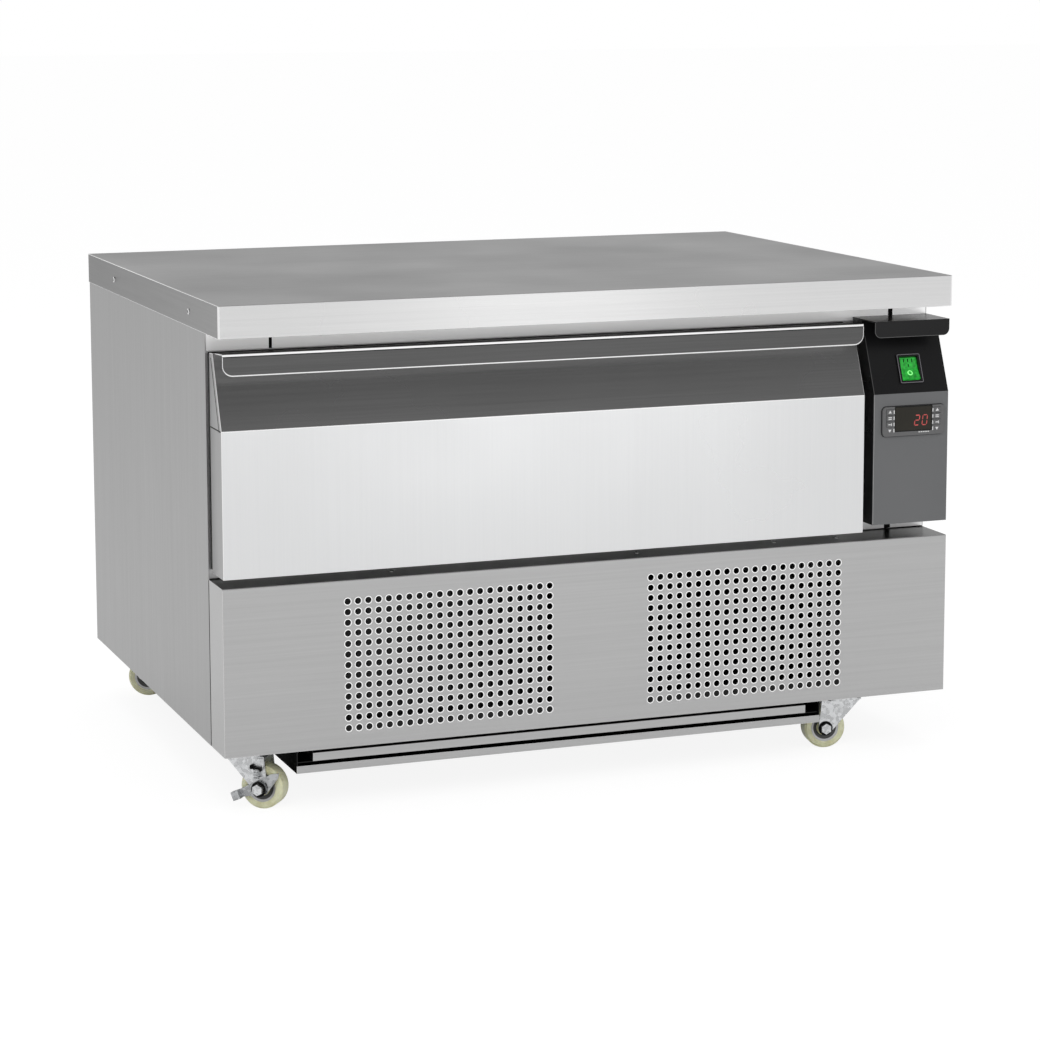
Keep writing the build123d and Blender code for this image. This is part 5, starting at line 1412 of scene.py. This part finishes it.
@dataclass
class Castors:
    """Four castors with cream nylon wheels, the front left one with a brake lever."""

    edge: float = 0.0004
    corners: tuple[str, ...] = ("front_left", "front_right", "back_left", "back_right")
    braked: str = "front_left"
    half_wheel: float = 0.011
    rim: float = 0.019
    hub: float = 0.009
    dish: float = 0.003
    rings: tuple[tuple[str, str, float, float], ...] = (
        ("dark", "cap_grey", 0.0098, 0.0142), ("light", "cap_light", 0.0142, 0.0168),
    )
    leg_face: float = 0.014
    brake_stack: float = 0.0056
    washer_radii: Point2 = (0.004, 0.0088)
    strap_width: float = 0.0125
    strap_sheet: float = 0.0012
    strap_right: float = 0.0035
    strap_heights: Point2 = (0.0215, 0.0345)
    bracket_reach: float = 0.0075
    bracket_bars: tuple[tuple[float, ...], ...] = (
        (-0.0095, 0.0232, 0.0035, 0.0248), (-0.0095, 0.0248, -0.0079, 0.0275), (0.0019, 0.0208, 0.0035, 0.0232),
    )
    coil_radius: float = 0.0032
    coil_wire: float = 0.0006
    coil_pitch: float = 0.0031
    coil_turns: int = 4
    coil_top: float = 0.0226
    coil_x: float = -0.0025
    pin_size: Point2 = (0.0016, 0.0012)
    pin_heights: Point2 = (0.0128, 0.0234)

    def build(self) -> None:
        """Dresses the castors and adds the wheels' caps, the washers and the brake's spring."""
        dress("castor_plates", "castor_zinc", self.edge)
        for corner in self.corners:
            dress(f"castor_fork_{corner}", "castor_zinc", self.edge)
            dress(f"castor_wheel_{corner}", "castor_nylon", self.edge)
            self._caps(corner)
            self._washers(corner)
        dress("castor_brake_front_left", "brake_zinc", self.edge)
        self._spring_strap(self.braked)

    def _stand(self, corner: str) -> Matrix:
        """Gives a castor's local frame: origin at the axle, X away from the swivel, Z upwards."""
        places = {joint["name"]: Vector(joint["pos_m"]) for joint in frame["joints"] if "pos_m" in joint}
        axle = places[f"castor_roll_{corner}"]
        way = axle - places[f"castor_swivel_{corner}"]
        turn = math.atan2(way.y, way.x)
        return Matrix.Translation(axle) @ Matrix.Rotation(turn, 4, "Z")

    def _dish_face(self, radius: float) -> float:
        """Gives how far the dished side of a wheel lies from its middle plane."""
        return self.half_wheel - self.dish * (self.rim - radius) / (self.rim - self.hub)

    def _caps(self, corner: str) -> None:
        """Makes the dark and the light ring in the dish on both sides of a wheel."""
        stand = self._stand(corner)
        for name, finish, inner, outer in self.rings:
            blank = Blank()
            for turn in (90.0, -90.0):
                place = stand @ Matrix.Rotation(math.radians(turn), 4, "X")
                low, high = self._dish_face(inner), self._dish_face(outer)
                profile = [(inner, low), (outer, high), (outer, high + 0.0004), (inner, low + 0.0004)]
                blank.turned(profile, place)
            cap = blank.piece(f"wheel_ring_{name}_{corner}", [finish])
            smooth(cap)
            fit_out(cap, f"wheel_{corner}", "zinc_steel")

    def _washers(self, corner: str) -> None:
        """Makes the dark washers under the axle's nuts."""
        stand = self._stand(corner)
        blank = Blank()
        stack = self.brake_stack if corner == self.braked else 0.0
        bore, rim = self.washer_radii
        for turn, seat in ((90.0, self.leg_face + stack), (-90.0, self.leg_face)):
            place = stand @ Matrix.Rotation(math.radians(turn), 4, "X")
            low, high = seat - 0.0002, seat + 0.0004
            blank.turned([(bore, low), (rim, low), (rim, high), (bore, high)], place)
        washers = blank.piece(f"axle_washers_{corner}", ["print_and_painted_shade_black"])
        fit_out(washers, f"fork_{corner}", "zinc_steel")

    def _spring_strap(self, corner: str) -> None:
        """Makes the strap on the braked fork, the notched bracket on it and its coil spring."""
        stand = self._stand(corner)
        face = -self.leg_face
        strap = Blank()
        left, right = self.strap_right - self.strap_width, self.strap_right
        foot, head = self.strap_heights
        self._local_box(strap, stand, (left, face - self.strap_sheet, foot), (right, face + 0.0001, head))
        plate = strap.piece("brake_strap", ["castor_zinc", "fold_painted_highlight"])
        # the rounded edges get the painted highlight
        soften(plate, 0.0004, 2, finish=1)
        fit_out(plate, f"fork_{corner}", "zinc_steel")
        bracket = Blank()
        near, far = face - self.bracket_reach, face - self.strap_sheet + 0.0001
        for x0, z0, x1, z1 in self.bracket_bars:
            self._local_box(bracket, stand, (x0, near, z0), (x1, far, z1))
        notch = bracket.piece("brake_bracket", ["print_and_painted_shade_black"])
        soften(notch, 0.0002)
        fit_out(notch, f"fork_{corner}", "zinc_steel")
        spring = Blank()
        x, middle = self.coil_x, face - self.strap_sheet - self.coil_radius - self.coil_wire
        wire = [(self.coil_radius + u, w) for u, w in arc((0.0, 0.0), self.coil_wire, 0.0, 315.0, 7)]
        for i in range(self.coil_turns):
            level = self.coil_top - self.coil_wire - i * self.coil_pitch
            spring.turned(wire, stand @ Matrix.Translation((x, middle, level)), 24)
        wide, deep = self.pin_size[0] / 2, self.pin_size[1] / 2
        foot, head = self.pin_heights
        self._local_box(spring, stand, (x - wide, middle - deep, foot), (x + wide, middle + deep, head))
        coils = spring.piece("brake_spring", ["castor_zinc"])
        smooth(coils)
        fit_out(coils, f"fork_{corner}", "zinc_steel")

    def _local_box(self, blank: Blank, stand: Matrix, low: Point3, high: Point3) -> None:
        """Adds a closed box between two corners in a castor's local frame."""
        outline = [
            tuple(stand @ Vector((x, low[1], z)))
            for x, z in ((low[0], low[2]), (high[0], low[2]), (high[0], high[2]), (low[0], high[2]))
        ]
        blank.slab(outline, stand.to_3x3() @ Vector((0.0, high[1] - low[1], 0.0)))


@dataclass
class Studio:
    """Pale floor, soft light and the camera at the photograph's place."""

    camera_place: Point3 = (-1.26326, -3.42509, 0.93177)
    camera_yaw: float = 20.567
    camera_pitch: float = 7.857
    camera_roll: float = -0.103
    lens: float = 102.43
    shift_down: float = 0.1346
    floor_size: float = 60.0
    floor_pale: float = 0.86
    floor_white: float = 1.12
    floor_shares: Point3 = (0.8, 0.4, 0.8)
    world_shares: Point3 = (1.0, 1.0, 1.0)
    ambient: float = 0.55
    surround: tuple[Point2, ...] = ((0.0, 1.0), (0.2, 1.0), (0.3, 0.62), (0.42, 0.45), (0.55, 0.3), (1.0, 0.2))

    def build(self) -> None:
        """Sets up the floor, the world, the lamps and the camera."""
        self._floor()
        self._world()
        middle = (0.0, 0.0, 0.3)
        for lamp in (
            ("key_lamp", (-2.6, -3.4, 3.4), middle, (2.6, 2.6), 45.0, False),
            ("fill_lamp", (3.4, -2.6, 2.4), middle, (2.6, 2.6), 22.0, False),
            ("top_lamp", (0.0, 0.6, 3.6), middle, (3.0, 3.0), 35.0, False),
            ("front_card", (0.62, -2.4, 0.62), (0.0, 0.0, 0.4), (0.9, 1.2), 1.0, True),
        ):
            self._lamp(*lamp)
        self._camera()
        bpy.context.scene.view_settings.view_transform = "Standard"

    def _seen_directly(self, tree: bpy.types.NodeTree, shares: Point3) -> bpy.types.NodeSocket:
        """Gives how much of the white surround each kind of ray sees; the light on things sees none.

        Args:
            tree: node tree of the floor or the world.
            shares: share for camera, glossy and transmission rays.

        Returns:
            The socket with the share.
        """
        path = add_node(tree, "LightPath")
        total = None
        for name, share in zip(("Is Camera Ray", "Is Glossy Ray", "Is Transmission Ray"), shares):
            weigh = add_node(tree, "Math")
            weigh.operation = "MULTIPLY"
            weigh.inputs[1].default_value = share
            tree.links.new(path.outputs[name], weigh.inputs[0])
            if total is None:
                total = weigh.outputs[0]
                continue
            larger = add_node(tree, "Math")
            larger.operation = "MAXIMUM"
            tree.links.new(total, larger.inputs[0])
            tree.links.new(weigh.outputs[0], larger.inputs[1])
            total = larger.outputs[0]
        return total

    def _join(
        self, tree: bpy.types.NodeTree, output: bpy.types.Node, shares: Point3,
        lit: bpy.types.NodeSocket, seen: bpy.types.NodeSocket,
    ) -> None:
        """Joins what lights the counter and what is seen of the surround to the output.

        Args:
            tree: node tree of the floor or the world.
            output: its output node.
            shares: share of the seen surround for camera, glossy and transmission rays.
            lit: shader that lights the counter.
            seen: shader that is seen and mirrored.
        """
        mix = add_node(tree, "MixShader")
        tree.links.new(self._seen_directly(tree, shares), mix.inputs["Fac"])
        tree.links.new(lit, mix.inputs[1])
        tree.links.new(seen, mix.inputs[2])
        tree.links.new(mix.outputs["Shader"], output.inputs["Surface"])

    def _floor(self) -> None:
        """Makes the pale floor, which looks white and keeps the object's shadow."""
        half = self.floor_size / 2
        blank = Blank()
        blank.face([(-half, -half, 0.0), (half, -half, 0.0), (half, half, 0.0), (-half, half, 0.0)])
        floor = blank.piece("floor", [])
        material = bpy.data.materials.new("pale_floor")
        material.use_nodes = True
        tree = material.node_tree
        tree.nodes.clear()
        diffuse = add_node(tree, "BsdfDiffuse", Color=(*grey(self.floor_pale), 1.0))
        white = add_node(tree, "Emission", Strength=self.floor_white)
        output = add_node(tree, "OutputMaterial")
        self._join(tree, output, self.floor_shares, diffuse.outputs["BSDF"], white.outputs["Emission"])
        floor.data.materials.append(material)

    def _world(self) -> None:
        """Makes a soft even light, and a white surround that falls off to grey overhead."""
        world = bpy.data.worlds.new("studio")
        bpy.context.scene.world = world
        world.use_nodes = True
        tree = world.node_tree
        tree.nodes.clear()
        ambient = add_node(tree, "Background", Color=(*grey(1.0), 1.0), Strength=self.ambient)
        surround = add_node(tree, "Background", Strength=1.0)
        tree.links.new(self._overhead_fall(tree), surround.inputs["Color"])
        output = add_node(tree, "OutputWorld")
        lit, seen = ambient.outputs["Background"], surround.outputs["Background"]
        self._join(tree, output, self.world_shares, lit, seen)

    def _overhead_fall(self, tree: bpy.types.NodeTree) -> bpy.types.NodeSocket:
        """Gives white up to 12 degrees above the horizon, and darker greys towards the zenith."""
        source = add_node(tree, "TexCoord")
        split = add_node(tree, "SeparateXYZ")
        tree.links.new(source.outputs["Generated"], split.inputs["Vector"])
        ramp = add_node(tree, "ValToRGB")
        stops = ramp.color_ramp.elements
        for i, (height, level) in enumerate(self.surround):
            stop = stops[i] if i < len(stops) else stops.new(height)
            stop.position = height
            stop.color = (*grey(level), 1.0)
        tree.links.new(split.outputs["Z"], ramp.inputs["Fac"])
        return ramp.outputs["Color"]

    def _lamp(
        self, name: str, place: Point3, aim: Point3, size: Point2, power: float, mirrored: bool
    ) -> None:
        """Adds a large soft lamp, which the camera doesn't see.

        Args:
            name: name of the lamp.
            place: its centre.
            aim: point that it faces.
            size: width and height of its rectangle.
            power: power in watts.
            mirrored: whether metal shows it.
        """
        data = bpy.data.lights.new(name, "AREA")
        data.shape = "RECTANGLE"
        data.size, data.size_y = size
        data.energy = power
        lamp = bpy.data.objects.new(name, data)
        lamp.location = place
        way = Vector(aim) - Vector(place)
        lamp.rotation_euler = way.to_track_quat("-Z", "Y").to_euler()
        lamp.visible_camera = False
        lamp.visible_glossy = mirrored
        bpy.context.scene.collection.objects.link(lamp)

    def _camera(self) -> None:
        """Sets the camera at the photograph's viewing angle."""
        data = bpy.data.cameras.new("view")
        data.sensor_width = 36.0
        data.lens = self.lens
        data.shift_y = -self.shift_down
        data.clip_end = 200.0
        camera = bpy.data.objects.new("view", data)
        turn = Matrix.Rotation(math.radians(-self.camera_yaw), 4, "Z")
        tilt = Matrix.Rotation(math.radians(90.0 - self.camera_pitch), 4, "X")
        roll = Matrix.Rotation(math.radians(self.camera_roll), 4, "Z")
        camera.matrix_world = Matrix.Translation(self.camera_place) @ turn @ tilt @ roll
        bpy.context.scene.collection.objects.link(camera)
        bpy.context.scene.camera = camera


def main() -> None:
    """Builds the counter's sub-assemblies in order, then the studio."""
    logging.basicConfig(level=logging.INFO, format="%(message)s")
    assemblies = (
        Worktop(), Carcass(), DrawerFront(), DrawerInside(), LowerPanel(), Screws(), ControlPanel(),
        RockerSwitch(), Controller(), MachineSpace(), DripTray(), Castors(), Studio(),
    )
    for assembly in assemblies:
        log.info("building %s", type(assembly).__name__)
        assembly.build()


if __name__ == "__main__":
    main()
